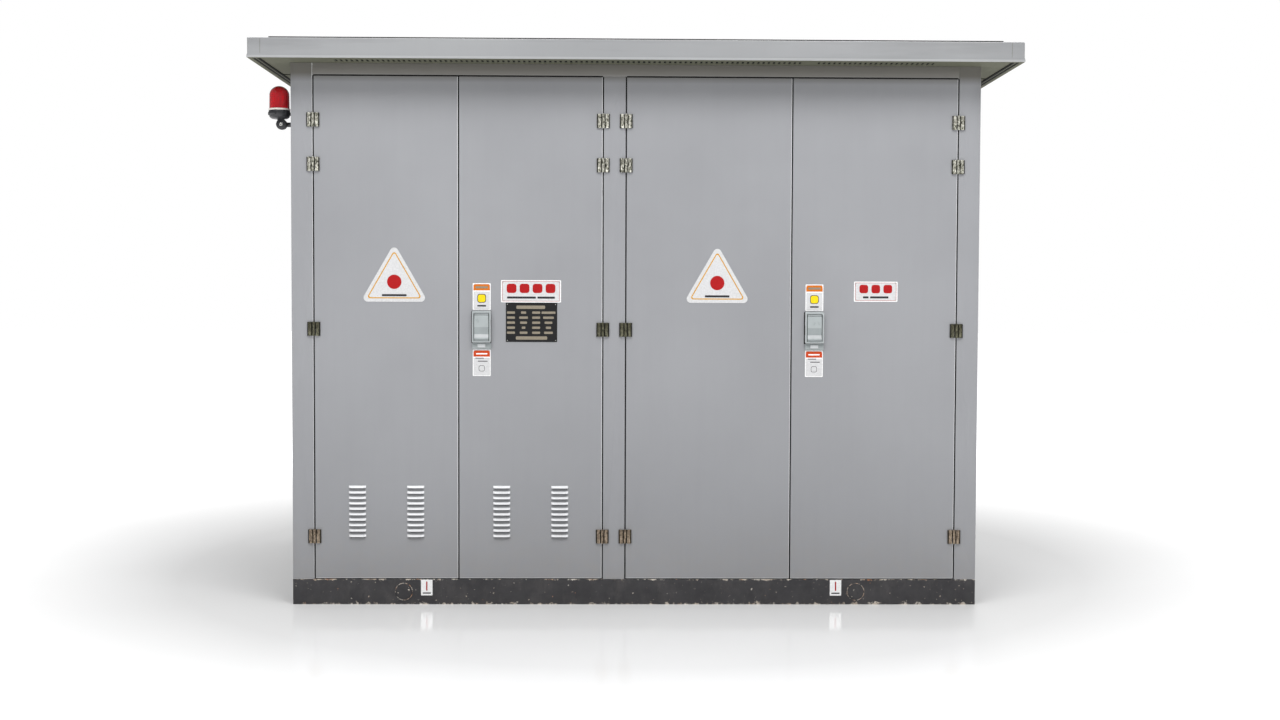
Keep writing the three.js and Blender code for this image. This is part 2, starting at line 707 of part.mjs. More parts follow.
// Outgoing moulded-case breakers in two rows of four, on their common mounting plate.
function feederBreakers() {
  const margin = 20;
  const plateX = [feederX[0] - margin, feederX[1] + margin];
  const plateZ = [feederZ[0] - margin, feederZ[1] + margin];
  let row = block(plateX, [boardFront + 60, boardFront + 66], plateZ);
  for (const z of [feederZ[0], feederZ[1] - 160]) {
    for (let index = 0; index < 4; index += 1) {
      const x = feederX[0] + index * 112;
      row = row.add(block([x, x + 104], [boardFront - 12, boardFront + 61], [z, z + 160]));
      row = row.add(block([x + 42, x + 62], [boardFront - 32, boardFront - 11], [z + 84, z + 98]));
    }
  }
  return row;
}

function buildSwitchboard() {
  const board = new THREE.Group();
  add(board, 'switchboard_panel', switchboardPanel(), zinc);
  const breaker = block(breakerX, [breakerFace, boardFront + 220], breakerZ);
  add(board, 'main_breaker', breaker, breakerPlastic);
  const [shaftX, shaftZ] = breakerShaft;
  const hub = rodY(26, [shaftX, shaftZ], [breakerFace - 22, breakerFace - gap]);
  const gripY = [breakerFace - 40, breakerFace - 21];
  const grip = block([shaftX - 10, shaftX + 10], gripY, [shaftZ - 60, shaftZ + 60]);
  add(board, 'main_breaker_handle', hub.add(grip), redPlastic);
  add(board, 'feeder_breakers', feederBreakers(), breakerPlastic);
  return board;
}

// ---------------------------------------------------------------- assembly
substation.add(buildBase());
add(substation, 'front_floor_plate', floorPlate(-1, cableGapFront), zinc);
add(substation, 'rear_floor_plate', floorPlate(1, cableGapRear), zinc);
substation.add(buildFrame());
add(substation, 'left_wall', sideWall(-1), greyPaint);
add(substation, 'right_wall', sideWall(1), greyPaint);
add(substation, 'partition_wall', partitionWall(), zinc);
add(substation, 'roof_cover', roofCover(), roofPaint);
substation.add(buildSoffits());
substation.add(buildDoors());
substation.add(buildRearPanels());
substation.add(buildBeacon());
substation.add(buildTransformer());
substation.add(buildSwitchboard());

export default substation;
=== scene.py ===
"""Looks of the prefabricated compact substation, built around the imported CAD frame. Metres, +Z up."""
import json
import math

import bmesh
import bpy
from mathutils import Matrix, Vector


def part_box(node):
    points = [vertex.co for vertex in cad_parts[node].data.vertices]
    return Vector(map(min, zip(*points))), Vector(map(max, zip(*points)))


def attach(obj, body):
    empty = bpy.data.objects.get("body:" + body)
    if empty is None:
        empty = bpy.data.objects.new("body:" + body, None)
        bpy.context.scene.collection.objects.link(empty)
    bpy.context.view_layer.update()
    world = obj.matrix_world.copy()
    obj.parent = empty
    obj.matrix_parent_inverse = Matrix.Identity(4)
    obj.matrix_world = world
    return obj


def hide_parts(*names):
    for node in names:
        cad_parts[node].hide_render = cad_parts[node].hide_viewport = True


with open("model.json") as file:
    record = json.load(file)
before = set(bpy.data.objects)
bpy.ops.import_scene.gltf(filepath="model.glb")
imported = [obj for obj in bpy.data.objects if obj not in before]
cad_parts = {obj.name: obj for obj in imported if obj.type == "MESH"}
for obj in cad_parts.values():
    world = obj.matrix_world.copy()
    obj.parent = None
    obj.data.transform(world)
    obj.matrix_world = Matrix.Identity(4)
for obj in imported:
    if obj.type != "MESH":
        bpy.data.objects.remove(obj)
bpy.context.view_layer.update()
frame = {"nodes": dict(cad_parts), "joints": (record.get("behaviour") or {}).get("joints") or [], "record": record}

MM = 0.001
JOINTS = {joint["name"]: joint for joint in frame["joints"]}
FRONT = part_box("front_left_post")[0].y
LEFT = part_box("left_wall")[0].x
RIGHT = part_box("right_wall")[1].x
REAR = -FRONT
SLOT_OF = {row["node"]: row["material_slot"] for row in frame["record"]["subparts"]}
BODY_OF = {node: body for body, nodes in frame["record"]["behaviour"]["bodies"].items() for node in nodes}


# ---------------------------------------------------------------- material nodes
MAT = {}


class Graph:
    """A material's node tree, listed in MAT, with short calls for the nodes that the finishes share."""

    def __init__(self, name):
        self.material = MAT[name] = bpy.data.materials.new(name)
        self.material.use_nodes = True
        self.nodes = self.material.node_tree.nodes
        self.links = self.material.node_tree.links
        self.shader = self.nodes["Principled BSDF"]
        self.place = self.nodes.new("ShaderNodeTexCoord").outputs["Object"]

    def link(self, source, node, socket):
        self.links.new(source, node.inputs[socket])

    def set(self, **values):
        for name, value in values.items():
            self.shader.inputs[name.replace("_", " ")].default_value = value

    def color(self, source):
        self.link(source, self.shader, "Base Color")

    def rough(self, source, at_low, at_high):
        self.link(self.span(source, 0.3, 0.7, at_low, at_high), self.shader, "Roughness")

    def stretched(self, scale):
        node = self.nodes.new("ShaderNodeMapping")
        node.inputs["Scale"].default_value = scale
        self.link(self.place, node, "Vector")
        return node.outputs["Vector"]

    def noise(self, scale, detail=3.0, roughness=0.5, stretch=(1, 1, 1)):
        node = self.nodes.new("ShaderNodeTexNoise")
        node.inputs["Scale"].default_value = scale
        node.inputs["Detail"].default_value = detail
        node.inputs["Roughness"].default_value = roughness
        self.link(self.stretched(stretch), node, "Vector")
        return node.outputs["Fac"]

    def ramp(self, source, stops):
        node = self.nodes.new("ShaderNodeValToRGB")
        elements = node.color_ramp.elements
        while len(elements) < len(stops):
            elements.new(0.5)
        for element, (position, color) in zip(elements, stops):
            element.position = position
            element.color = (*color, 1) if len(color) == 3 else color
        self.link(source, node, "Fac")
        return node.outputs["Color"]

    def span(self, source, low, high, to_low=0.0, to_high=1.0):
        node = self.nodes.new("ShaderNodeMapRange")
        for name, value in (("From Min", low), ("From Max", high), ("To Min", to_low), ("To Max", to_high)):
            node.inputs[name].default_value = value
        self.link(source, node, "Value")
        return node.outputs["Result"]

    def math(self, operation, a, b):
        node = self.nodes.new("ShaderNodeMath")
        node.operation = operation
        for socket, value in zip(node.inputs, (a, b)):
            if isinstance(value, (int, float)):
                socket.default_value = value
            else:
                self.links.new(value, socket)
        return node.outputs["Value"]

    def mix(self, factor, a, b):
        node = self.nodes.new("ShaderNodeMix")
        node.data_type = "RGBA"
        for socket, value in ((node.inputs[0], factor), (node.inputs[6], a), (node.inputs[7], b)):
            if isinstance(value, tuple):
                socket.default_value = (*value, 1)
            elif isinstance(value, (int, float)):
                socket.default_value = value
            else:
                self.links.new(value, socket)
        return node.outputs[2]

    def height(self):
        node = self.nodes.new("ShaderNodeSeparateXYZ")
        self.link(self.place, node, "Vector")
        return node.outputs["Z"]

    def bump(self, source, strength, distance):
        node = self.nodes.new("ShaderNodeBump")
        node.inputs["Strength"].default_value = strength
        node.inputs["Distance"].default_value = distance
        self.link(source, node, "Height")
        self.link(node.outputs["Normal"], self.shader, "Normal")


def shade(color, factor):
    return tuple(channel * factor for channel in color)


def painted_sheet(name, color, roughness=0.42, eave_soil=0.0, sheen=0.5, streaks=0.0):
    """Powder coat on sheet steel: orange-peel skin, faint clouding, rain streaks and dust low down.
    If asked, it has a band of painted shade under the eaves, and level streaks."""
    g = Graph(name)
    cloud = g.noise(1.7, 4, 0.55)
    streak = g.noise(5.0, 3, 0.6, (6, 6, 0.35))
    base = g.ramp(cloud, [(0.3, shade(color, 0.95)), (0.7, shade(color, 1.04))])
    streaked = g.mix(g.span(streak, 0.45, 0.75, 0, 0.12), base, shade(color, 0.86))
    dust = g.span(g.height(), 0.10, 0.38, 0.30, 0.0)
    grime = g.math("MULTIPLY", dust, g.span(g.noise(22, 5, 0.7), 0.35, 0.7))
    speck = g.span(g.noise(420, 2, 0.5), 0.70, 0.78, 0, 0.5)
    colored = g.mix(grime, streaked, (0.33, 0.30, 0.26))
    specked = g.mix(speck, colored, shade(color, 0.72))
    # painted shade: a warm dark band just below the eaves, where the overhang shades the sheet
    if eave_soil:
        eave_shade_mask = g.span(g.height(), 2.035, 2.070, 0.0, eave_soil)
        specked = g.mix(eave_shade_mask, specked, (0.088, 0.079, 0.055))
    if streaks:
        level = g.noise(1.1, 4, 0.6, (1, 1, 9))
        specked = g.mix(g.span(level, 0.46, 0.66, 0.0, streaks), specked, shade(color, 0.62))
    g.color(specked)
    g.rough(cloud, roughness - 0.05, roughness + 0.07)
    g.set(Metallic=0.0, Specular_IOR_Level=sheen, Coat_Weight=0.24 * sheen, Coat_Roughness=0.25)
    g.bump(g.noise(650, 2, 0.5), 0.10, 0.0004)


def chipped_black(name):
    """Black base paint with chips along its edges and a few loose spots, showing primer and rust."""
    g = Graph(name)
    body = g.ramp(g.noise(9, 5, 0.6), [(0.3, (0.027, 0.026, 0.029)), (0.75, (0.049, 0.047, 0.050))])
    low_edge = g.span(g.height(), 0.0, 0.030, 1.0, 0.55)
    high_edge = g.span(g.height(), 0.084, 0.098, 0.55, 0.96)
    edge = g.math("MAXIMUM", low_edge, high_edge)
    chips = g.span(g.math("MULTIPLY", edge, g.noise(26, 6, 0.8)), 0.50, 0.53)
    spots = g.span(g.noise(75, 3, 0.62), 0.675, 0.69)
    worn = g.ramp(g.noise(16, 4, 0.65), [(0.40, (0.62, 0.58, 0.52)), (0.56, (0.48, 0.40, 0.32)),
                                         (0.66, (0.36, 0.15, 0.07))])
    scuffed = g.mix(g.span(g.noise(14, 5, 0.7, (1, 1, 0.5)), 0.5, 0.8, 0, 0.45), body, (0.12, 0.11, 0.105))
    g.color(g.mix(g.math("MAXIMUM", chips, spots), scuffed, worn))
    g.rough(g.noise(30, 3, 0.5), 0.45, 0.68)
    g.bump(g.noise(260, 4, 0.6), 0.25, 0.0006)


def worn_black(name):
    """Black paint broken through on a raised bead, with pale primer and a little rust."""
    g = Graph(name)
    patch = g.noise(75, 4, 0.7)
    tone = g.ramp(g.noise(22, 3, 0.6), [(0.42, (0.60, 0.56, 0.50)), (0.60, (0.45, 0.22, 0.11))])
    g.color(g.mix(g.span(patch, 0.47, 0.51), (0.035, 0.034, 0.036), tone))
    g.rough(patch, 0.45, 0.65)
    g.bump(patch, 0.3, 0.0006)


def plated_metal(name, color, roughness=0.28):
    """Nickel or zinc plate: metallic, cloudy, with fine upright polishing lines."""
    g = Graph(name)
    patch = g.noise(95, 4, 0.65, (1, 1, 0.45))
    dull = g.ramp(patch, [(0.36, shade(color, 0.55)), (0.55, color), (0.72, shade(color, 1.18))])
    g.color(dull)
    g.rough(patch, roughness + 0.14, roughness - 0.06)
    g.set(Metallic=1.0)
    g.bump(g.noise(700, 2, 0.5, (5, 5, 0.3)), 0.18, 0.0003)


def hinge_plate(name):
    """Nickel-plated hinge steel with painted reflections by height: bright and pitted high up, olive at mid
    height, brown near the ground.
    """
    g = Graph(name)
    patch = g.noise(170, 5, 0.75, (1, 1, 0.55))
    bright = g.ramp(patch, [(0.41, (0.045, 0.045, 0.033)), (0.49, (0.36, 0.355, 0.29)),
                            (0.60, (0.80, 0.79, 0.71))])
    olive = g.ramp(patch, [(0.40, (0.030, 0.030, 0.018)), (0.62, (0.16, 0.155, 0.10))])
    brown = g.ramp(patch, [(0.38, (0.070, 0.050, 0.034)), (0.52, (0.30, 0.235, 0.17)),
                           (0.66, (0.46, 0.37, 0.28))])
    # painted reflection: the colour changes with height as the surroundings would reflect in the plate
    low_half = g.mix(g.span(g.height(), 0.55, 0.90, 0, 1), brown, olive)
    g.color(g.mix(g.span(g.height(), 1.25, 1.60, 0, 1), low_half, bright))
    g.rough(patch, 0.48, 0.26)
    g.set(Metallic=0.55)
    g.bump(g.noise(500, 2, 0.5, (4, 4, 0.4)), 0.25, 0.0003)


def moulded(name, color, roughness=0.4, grain=0.12, **values):
    """Moulded plastic with a fine grain and a little uneven gloss."""
    g = Graph(name)
    tone = g.noise(24, 3, 0.5)
    g.color(g.ramp(tone, [(0.3, shade(color, 0.93)), (0.7, shade(color, 1.05))]))
    g.rough(tone, roughness - 0.04, roughness + 0.06)
    g.set(**values)
    g.bump(g.noise(900, 2, 0.5), grain, 0.0003)


def print_ink(name, color):
    """Flat printed ink, a little uneven and slightly glossy."""
    g = Graph(name)
    tone = g.noise(160, 3, 0.6)
    g.color(g.ramp(tone, [(0.3, shade(color, 0.88)), (0.7, shade(color, 1.06))]))
    g.rough(tone, 0.42, 0.56)
    g.set(Specular_IOR_Level=0.22)


def clear_lens(name):
    """Red see-through plastic with a glossy coat."""
    g = Graph(name)
    tone = g.noise(30, 2, 0.5)
    g.color(g.ramp(tone, [(0.3, (0.90, 0.010, 0.025)), (0.7, (0.98, 0.020, 0.040))]))
    g.rough(tone, 0.05, 0.10)
    g.set(Transmission_Weight=0.60, IOR=1.49, Coat_Weight=1.0, Coat_Roughness=0.04)


def studio_floor():
    """White studio floor that glows softly further out, so that it meets the white backdrop."""
    g = Graph("pale_floor")
    tone = g.noise(0.8, 3, 0.5)
    g.color(g.ramp(tone, [(0.3, (0.90, 0.90, 0.90)), (0.7, (0.93, 0.93, 0.93))]))
    distance = g.nodes.new("ShaderNodeVectorMath")
    distance.operation = "LENGTH"
    g.link(g.place, distance, 0)
    g.link(g.span(distance.outputs["Value"], 2.0, 5.2, 0.0, 1.0), g.shader, "Emission Strength")
    g.set(Roughness=0.10, Emission_Color=(1, 1, 1, 1))
    return g.material


GREY = (0.298, 0.303, 0.320)
# the grey paint carries painted shade under the eaves, at strength 0.74
painted_sheet("grey_paint", GREY, 0.42, 0.74)
# a painted highlight for the right and lower edges of the sheets and the louvre hoods
painted_sheet("edge_paint", (0.80, 0.81, 0.83), 0.30)
painted_sheet("roof_paint", (0.256, 0.262, 0.270), streaks=0.45)
# a painted highlight for the fascia's bottom band and the step at its top
painted_sheet("roof_edge_paint", (0.34, 0.345, 0.352), 0.32)
# painted shade with a painted greenish reflection of the ground, for the eaves' undersides, the fascia seams and
# the side trims
painted_sheet("eaves_paint", (0.120, 0.122, 0.092), 0.85, sheen=0.05)
painted_sheet("board_paint", (0.44, 0.45, 0.43), 0.45)
chipped_black("black_paint")
worn_black("worn_black")
hinge_plate("hinge_nickel")
# painted shade for the hinge grooves, the leaves' undersides and the strip by the knuckle
moulded("hinge_tarnish", (0.018, 0.018, 0.013), 0.7, 0.2, Specular_IOR_Level=0.15)
moulded("lock_plastic", (0.38, 0.415, 0.42), 0.30)
# painted shade for the lock's lower faces; the pale rim plastic below is partly a painted highlight
moulded("lock_shade", (0.30, 0.33, 0.335), 0.34)
moulded("lock_rim", (0.52, 0.54, 0.55), 0.26)
moulded("dark_plastic", (0.020, 0.021, 0.024), 0.42)
plated_metal("mirror_silver", (0.92, 0.90, 0.90), 0.12)
painted_sheet("tank_paint", (0.155, 0.185, 0.19))
moulded("bushing_ceramic", (0.17, 0.050, 0.022), 0.14, 0.03, Coat_Weight=0.6)
moulded("breaker_plastic", (0.035, 0.037, 0.042), 0.45)
painted_sheet("zinc_sheet", (0.37, 0.38, 0.375), 0.45)
moulded("handle_red", (0.45, 0.012, 0.012), 0.35)
plated_metal("bolt_steel", (0.62, 0.62, 0.60), 0.30)
moulded("seal_rubber", (0.007, 0.007, 0.007), 0.85, 0.25, Specular_IOR_Level=0.1)
print_ink("plate_white", (0.64, 0.64, 0.65))
print_ink("plate_rim", (0.95, 0.95, 0.95))
print_ink("plate_black", (0.012, 0.012, 0.013))
print_ink("ink_red", (0.40, 0.006, 0.008))
print_ink("ink_amber", (0.62, 0.32, 0.02))
print_ink("ink_orange", (0.62, 0.16, 0.012))
print_ink("ink_scarlet", (0.56, 0.060, 0.010))
print_ink("ink_yellow", (0.86, 0.66, 0.01))
print_ink("ink_dark", (0.030, 0.030, 0.034))
print_ink("ink_cream", (0.27, 0.235, 0.18))
moulded("cream_ring", (0.74, 0.71, 0.66), 0.35)
clear_lens("red_lens")


# ---------------------------------------------------------------- mesh helpers
def finish_piece(piece, body, replaced=(), smooth_angle=32):
    """Shades the piece, sets it on its body and hides the CAD nodes that it stands for."""
    mesh = piece.data
    for polygon in mesh.polygons:
        polygon.use_smooth = True
    mesh.set_sharp_from_angle(angle=math.radians(smooth_angle))
    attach(piece, body)
    if replaced:
        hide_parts(*replaced)
    return piece


def bake_modifiers(piece):
    graph = bpy.context.evaluated_depsgraph_get()
    mesh = bpy.data.meshes.new_from_object(piece.evaluated_get(graph))
    piece.modifiers.clear()
    old = piece.data
    piece.data = mesh
    bpy.data.meshes.remove(old)


def piece_from(bm, name, materials, bevel=0.0, segments=2, thickness=0.0):
    """A new object from a bmesh, with rounded edges and, if asked, a sheet thickness put inwards."""
    bmesh.ops.remove_doubles(bm, verts=bm.verts, dist=2e-6)
    bmesh.ops.recalc_face_normals(bm, faces=bm.faces)
    mesh = bpy.data.meshes.new(name)
    bm.to_mesh(mesh)
    bm.free()
    piece = bpy.data.objects.new(name, mesh)
    bpy.context.scene.collection.objects.link(piece)
    for material in materials:
        mesh.materials.append(MAT[material])
    if bevel:
        modifier = piece.modifiers.new("round", "BEVEL")
        modifier.width = bevel
        modifier.segments = segments
        modifier.limit_method = "ANGLE"
        modifier.angle_limit = math.radians(32)
        modifier.use_clamp_overlap = True
    if thickness:
        modifier = piece.modifiers.new("sheet", "SOLIDIFY")
        modifier.thickness = thickness
        modifier.offset = -1
    if piece.modifiers:
        bake_modifiers(piece)
    return piece


def make_piece(bm, name, materials, body, slot_name, replaced=(), smooth_angle=32, **shaping):
    """Builds a piece from a bmesh and finishes it. Shaping goes to piece_from."""
    return finish_piece(piece_from(bm, name, materials, **shaping), body, replaced, smooth_angle)


def add_box(bm, low, high, material=0):
    low, high = [min(a, b) for a, b in zip(low, high)], [max(a, b) for a, b in zip(low, high)]
    corners = [bm.verts.new((x, y, z)) for x in (low[0], high[0]) for y in (low[1], high[1])
               for z in (low[2], high[2])]
    for indices in ((0, 1, 3, 2), (4, 6, 7, 5), (0, 4, 5, 1), (2, 3, 7, 6), (0, 2, 6, 4), (1, 5, 7, 3)):
        bm.faces.new([corners[i] for i in indices]).material_index = material


def ring_points(radius, count):
    angles = [i * math.tau / count for i in range(count)]
    return [(radius * math.cos(angle), radius * math.sin(angle)) for angle in angles]


def join_rings(bm, lower, upper, material=0, tones={}):
    """Faces between two closed rings, where a ring of one vertex is a point. Tones differ by side."""
    count = max(len(lower), len(upper))
    for i in range(count):
        j = (i + 1) % count
        corners = [lower[i % len(lower)], lower[j % len(lower)], upper[j % len(upper)], upper[i % len(upper)]]
        unique = list(dict.fromkeys(corners))
        if len(unique) > 2:
            bm.faces.new(unique).material_index = tones.get(i, material)


def add_grid(bm, columns, rows, place, is_open):
    """Flat sheet over crossing lines, without the cells that is_open picks by column and row."""
    grid = {(i, k): bm.verts.new(place(u, v)) for i, u in enumerate(columns) for k, v in enumerate(rows)}
    for i in range(len(columns) - 1):
        for k in range(len(rows) - 1):
            if not is_open(i, k):
                bm.faces.new([grid[i, k], grid[i + 1, k], grid[i + 1, k + 1], grid[i, k + 1]])
    return grid


def in_mm(*points, base=0.0):
    """A profile given in millimetres, its second values measured from a base in metres."""
    return [(u * MM, base + v * MM) for u, v in points]


AXES = {
    "x": Matrix(((0, 0, 1), (1, 0, 0), (0, 1, 0))),
    "y": Matrix(((1, 0, 0), (0, 0, -1), (0, 1, 0))),
    "z": Matrix.Identity(3),
}


def add_turned(bm, profile, centre, axis="z", count=32, material=0):
    """Turned solid: the profile is (radius, distance along the axis) and starts and ends on the axis.
    Along y the distance runs from front to back as a negative number."""
    rings = []
    for radius, along in profile:
        if radius < 1e-7:
            rings.append([bm.verts.new(Vector(centre) + AXES[axis] @ Vector((0, 0, along)))])
        else:
            points = ring_points(radius, count)
            rings.append([bm.verts.new(Vector(centre) + AXES[axis] @ Vector((u, v, along)))
                          for u, v in points])
    for lower, upper in zip(rings, rings[1:]):
        join_rings(bm, lower, upper, material)


def add_screw(bm, centre, radius, axis="y"):
    """Domed screw head with a round recess. Along x it rises to the left, along y to the rear."""
    rise = -radius * 0.55
    add_turned(bm, [(0, 0), (radius, 0), (radius, rise * 0.45), (radius * 0.8, rise * 0.85),
                    (radius * 0.52, rise), (radius * 0.45, rise), (radius * 0.42, rise * 0.3),
                    (0, rise * 0.3)], centre, axis, 18)


def refined(node, bevel=0.8 * MM, segments=2, material=None):
    """A CAD node's own shape with merged flat faces and rounded edges, standing for that node."""
    bm = bmesh.new()
    bm.from_mesh(frame["nodes"][node].data)
    bmesh.ops.remove_doubles(bm, verts=bm.verts, dist=1e-5)
    bmesh.ops.dissolve_limit(bm, angle_limit=math.radians(1.5), verts=bm.verts, edges=bm.edges)
    for face in bm.faces:
        face.material_index = 0
    piece = piece_from(bm, f"{node}_skin", [material or SLOT_OF[node]], bevel, segments)
    return finish_piece(piece, BODY_OF[node], [node])


def paint_edge_highlights(piece, index, facing):
    """Gives the rounded right and lower edges of the outer face a lighter paint, as a painted highlight."""
    for polygon in piece.data.polygons:
        normal = polygon.normal
        turned = -normal.x * facing > 0.2 or normal.z < -0.2
        if turned and 0.25 < normal.y * facing < 0.97:
            polygon.material_index = index


# ---------------------------------------------------------------- doors and fixed panels
DOORS = {
    number: {
        "hand": 1 if number in (1, 3) else -1,
        "hinge": JOINTS[f"door_{number}_swing"]["pos_m"][0],
        "box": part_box(f"door_{number}_panel"),
    }
    for number in (1, 2, 3, 4)
}
SHEET = 2 * MM
PAN_DEPTH = 38 * MM
PAN_FOLD = 2 * MM           # radius of the folded edges
LOUVRE_COUNT = 10
LOUVRE_PITCH = 21.3 * MM
LOUVRE_LOW = 265 * MM
LOUVRE_WIDTH = 67 * MM
LOUVRE_SLOT = 7 * MM
LOUVRE_INSETS = (167 * MM, 394 * MM)       # from the hinge line


def louvre_rows():
    return [LOUVRE_LOW + i * LOUVRE_PITCH for i in range(LOUVRE_COUNT)]


def sheet_pan(x_span, z_span, face, inward, louvres):
    """Folded pan: a face with louvre slots left open, and edges folded back. Inward is +1 or -1 in Y."""
    bm = bmesh.new()
    x_lines, z_lines = set(x_span), set(z_span)
    half_width, half_slot = LOUVRE_WIDTH / 2 - 4 * MM, LOUVRE_SLOT / 2
    for x in louvres:
        x_lines.update((x - half_width, x + half_width))
    if louvres:
        for z in louvre_rows():
            z_lines.update((z - half_slot, z + half_slot))
    x_lines, z_lines = sorted(x_lines), sorted(z_lines)

    def is_slot(i, k):
        x, z = (x_lines[i] + x_lines[i + 1]) / 2, (z_lines[k] + z_lines[k + 1]) / 2
        in_x = any(abs(x - middle) < half_width for middle in louvres)
        return in_x and any(abs(z - middle) < half_slot for middle in louvre_rows())

    grid = add_grid(bm, x_lines, z_lines, lambda x, z: (x, face, z), is_slot)
    last_i, last_k = len(x_lines) - 1, len(z_lines) - 1
    rim = [(i, 0) for i in range(last_i)] + [(last_i, k) for k in range(last_k)]
    rim += [(i, last_k) for i in range(last_i, 0, -1)] + [(0, k) for k in range(last_k, 0, -1)]
    back = {key: bm.verts.new(grid[key].co + Vector((0, inward * PAN_DEPTH, 0))) for key in rim}
    for a, b in zip(rim, rim[1:] + rim[:1]):
        bm.faces.new([grid[a], grid[b], back[b], back[a]])
    bm.normal_update()
    return bm


def add_louvre_hood(bm, x, z, face, outward, material=0):
    """Pressed hood over a slot: slopes out towards its lower edge and closes down at both ends."""
    across, down, wall = 16, 7, 1.2 * MM
    width, height, bulge, overlap = LOUVRE_WIDTH / 2, 12 * MM, 9 * MM, 0.2 * MM
    shells = []
    for inset in (0.0, wall):
        rows = []
        for v in range(down + 1):
            t = v / down
            row = []
            for u in range(across + 1):
                s = -math.cos(math.pi * u / across)
                end = math.sqrt(max(0.0, 1 - abs(s) ** 7))
                profile = math.sin(t * math.pi / 2) ** 1.1
                reach = bulge * profile * end
                y = face + outward * (reach - (inset if reach > inset else reach)) - outward * 0.2 * MM
                row.append(bm.verts.new((x + s * width, y, z + height - overlap - t * height)))
            rows.append(row)
        shells.append(rows)
    outer, inner = shells
    for rows, flip in ((outer, False), (inner, True)):
        for v in range(down):
            for u in range(across):
                corners = [rows[v][u], rows[v][u + 1], rows[v + 1][u + 1], rows[v + 1][u]]
                # the middle rows of the hood's outer face take the given material, a painted highlight
                lit = material if 0 < v < down - 1 and not flip else 0
                bm.faces.new(corners[::-1] if flip else corners).material_index = lit
    for u in range(across):
        bm.faces.new([outer[down][u], outer[down][u + 1], inner[down][u + 1], inner[down][u]])
        bm.faces.new([inner[0][u], inner[0][u + 1], outer[0][u + 1], outer[0][u]])
    for v in range(down):
        bm.faces.new([outer[v][0], outer[v + 1][0], inner[v + 1][0], inner[v][0]])
        bm.faces.new([inner[v][across], inner[v + 1][across], outer[v + 1][across], outer[v][across]])


def build_pan(node, name, louvres, facing):
    """The visible pan of a door or rear panel. Facing is -1 for the front and 1 for the rear."""
    low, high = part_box(node)
    face = low.y if facing < 0 else high.y
    bm = sheet_pan((low.x, high.x), (low.z, high.z), face, -facing, louvres)
    piece = piece_from(bm, name, ["grey_paint", "edge_paint"], PAN_FOLD, 3, SHEET)
    # painted highlight on the pan's right and lower edges
    paint_edge_highlights(piece, 1, facing)
    if louvres:
        hoods = bmesh.new()
        hoods.from_mesh(piece.data)
        for x in louvres:
            for z in louvre_rows():
                add_louvre_hood(hoods, x, z, face, facing, 1)
        hoods.to_mesh(piece.data)
        hoods.free()
    return finish_piece(piece, BODY_OF[node], [node])


def build_doors():
    for number, door in DOORS.items():
        louvres = [door["hinge"] + door["hand"] * inset for inset in LOUVRE_INSETS] if number < 3 else []
        build_pan(f"door_{number}_panel", f"door_{number}_sheet", louvres, -1)
        build_door_inside(number, door)
    low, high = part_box("transformer_rear_panel")
    build_pan("transformer_rear_panel", "transformer_rear_sheet", [low.x + 280 * MM, high.x - 280 * MM], 1)
    build_pan("switchgear_rear_panel", "switchgear_rear_sheet", [], 1)


def build_door_inside(number, door):
    """Stiffening hat sections and the rubber seal on the inner side of a leaf."""
    low, high = door["box"]
    back = high.y
    bm = bmesh.new()
    for z in (low.z + 0.30, low.z + 0.78, low.z + 1.26, low.z + 1.70):
        add_box(bm, (low.x + 30 * MM, low.y + 3 * MM, z), (high.x - 30 * MM, back - 6 * MM, z + 50 * MM))
    make_piece(bm, f"door_{number}_stiffeners", ["grey_paint"], f"door_{number}", "grey_paint", bevel=3 * MM)
    bm = bmesh.new()
    inset, wide, proud = 6 * MM, 12 * MM, 3.5 * MM
    x0, x1, z0, z1 = low.x + inset, high.x - inset, low.z + inset, high.z - inset
    for a, b in (((x0, z0), (x1, z0 + wide)), ((x0, z1 - wide), (x1, z1)),
                 ((x0, z0 + wide), (x0 + wide, z1 - wide)), ((x1 - wide, z0 + wide), (x1, z1 - wide))):
        add_box(bm, (a[0], back - 5 * MM, a[1]), (b[0], back + proud, b[1]))
    make_piece(bm, f"door_{number}_seal", ["seal_rubber"], f"door_{number}", "dark_plastic", bevel=1.6 * MM)


def build_gap_seals():
    """Black rubber strips in the gaps round the leaves, set near the face so that they also stand in for the deep
    shade in the gaps, and a black lip under the header that is a painted shadow line.
    """
    front, back = FRONT + 1.0 * MM, FRONT + 14 * MM
    low, high = DOORS[1]["box"]
    z0, z1 = low.z, high.z
    bm = bmesh.new()
    for door in DOORS.values():
        edge = door["box"][0 if door["hand"] > 0 else 1].x
        add_box(bm, (edge - door["hand"] * 4.8 * MM, front, z0), (edge - door["hand"] * 0.4 * MM, back, z1))
    header_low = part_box("front_header")[0].z
    for left, right in ((1, 2), (3, 4)):
        span = (DOORS[left]["box"][0].x, DOORS[right]["box"][1].x)
        add_box(bm, (span[0], front, z1 + 0.4 * MM), (span[1], back, header_low - 0.2 * MM))
        # a black lip along the header's lower edge, a painted shadow line
        add_box(bm, (span[0], FRONT - 0.8 * MM, z1 + 0.4 * MM),
                (span[1], front + 1 * MM, header_low + 2.2 * MM))
        add_box(bm, (span[0], front, z0 - 2.7 * MM), (span[1], back, z0 - 0.4 * MM))
    make_piece(bm, "frame_gap_seals", ["seal_rubber"], "kiosk", "dark_plastic", bevel=0.3 * MM)
    for number in (1, 3):
        edge = DOORS[number]["box"][1].x
        bm = bmesh.new()
        add_box(bm, (edge + 0.1 * MM, front, z0), (edge + 3.9 * MM, back, z1))
        make_piece(bm, f"door_{number}_meeting_shade_seal", ["seal_rubber"], f"door_{number}", "dark_plastic",
                   bevel=0.3 * MM)


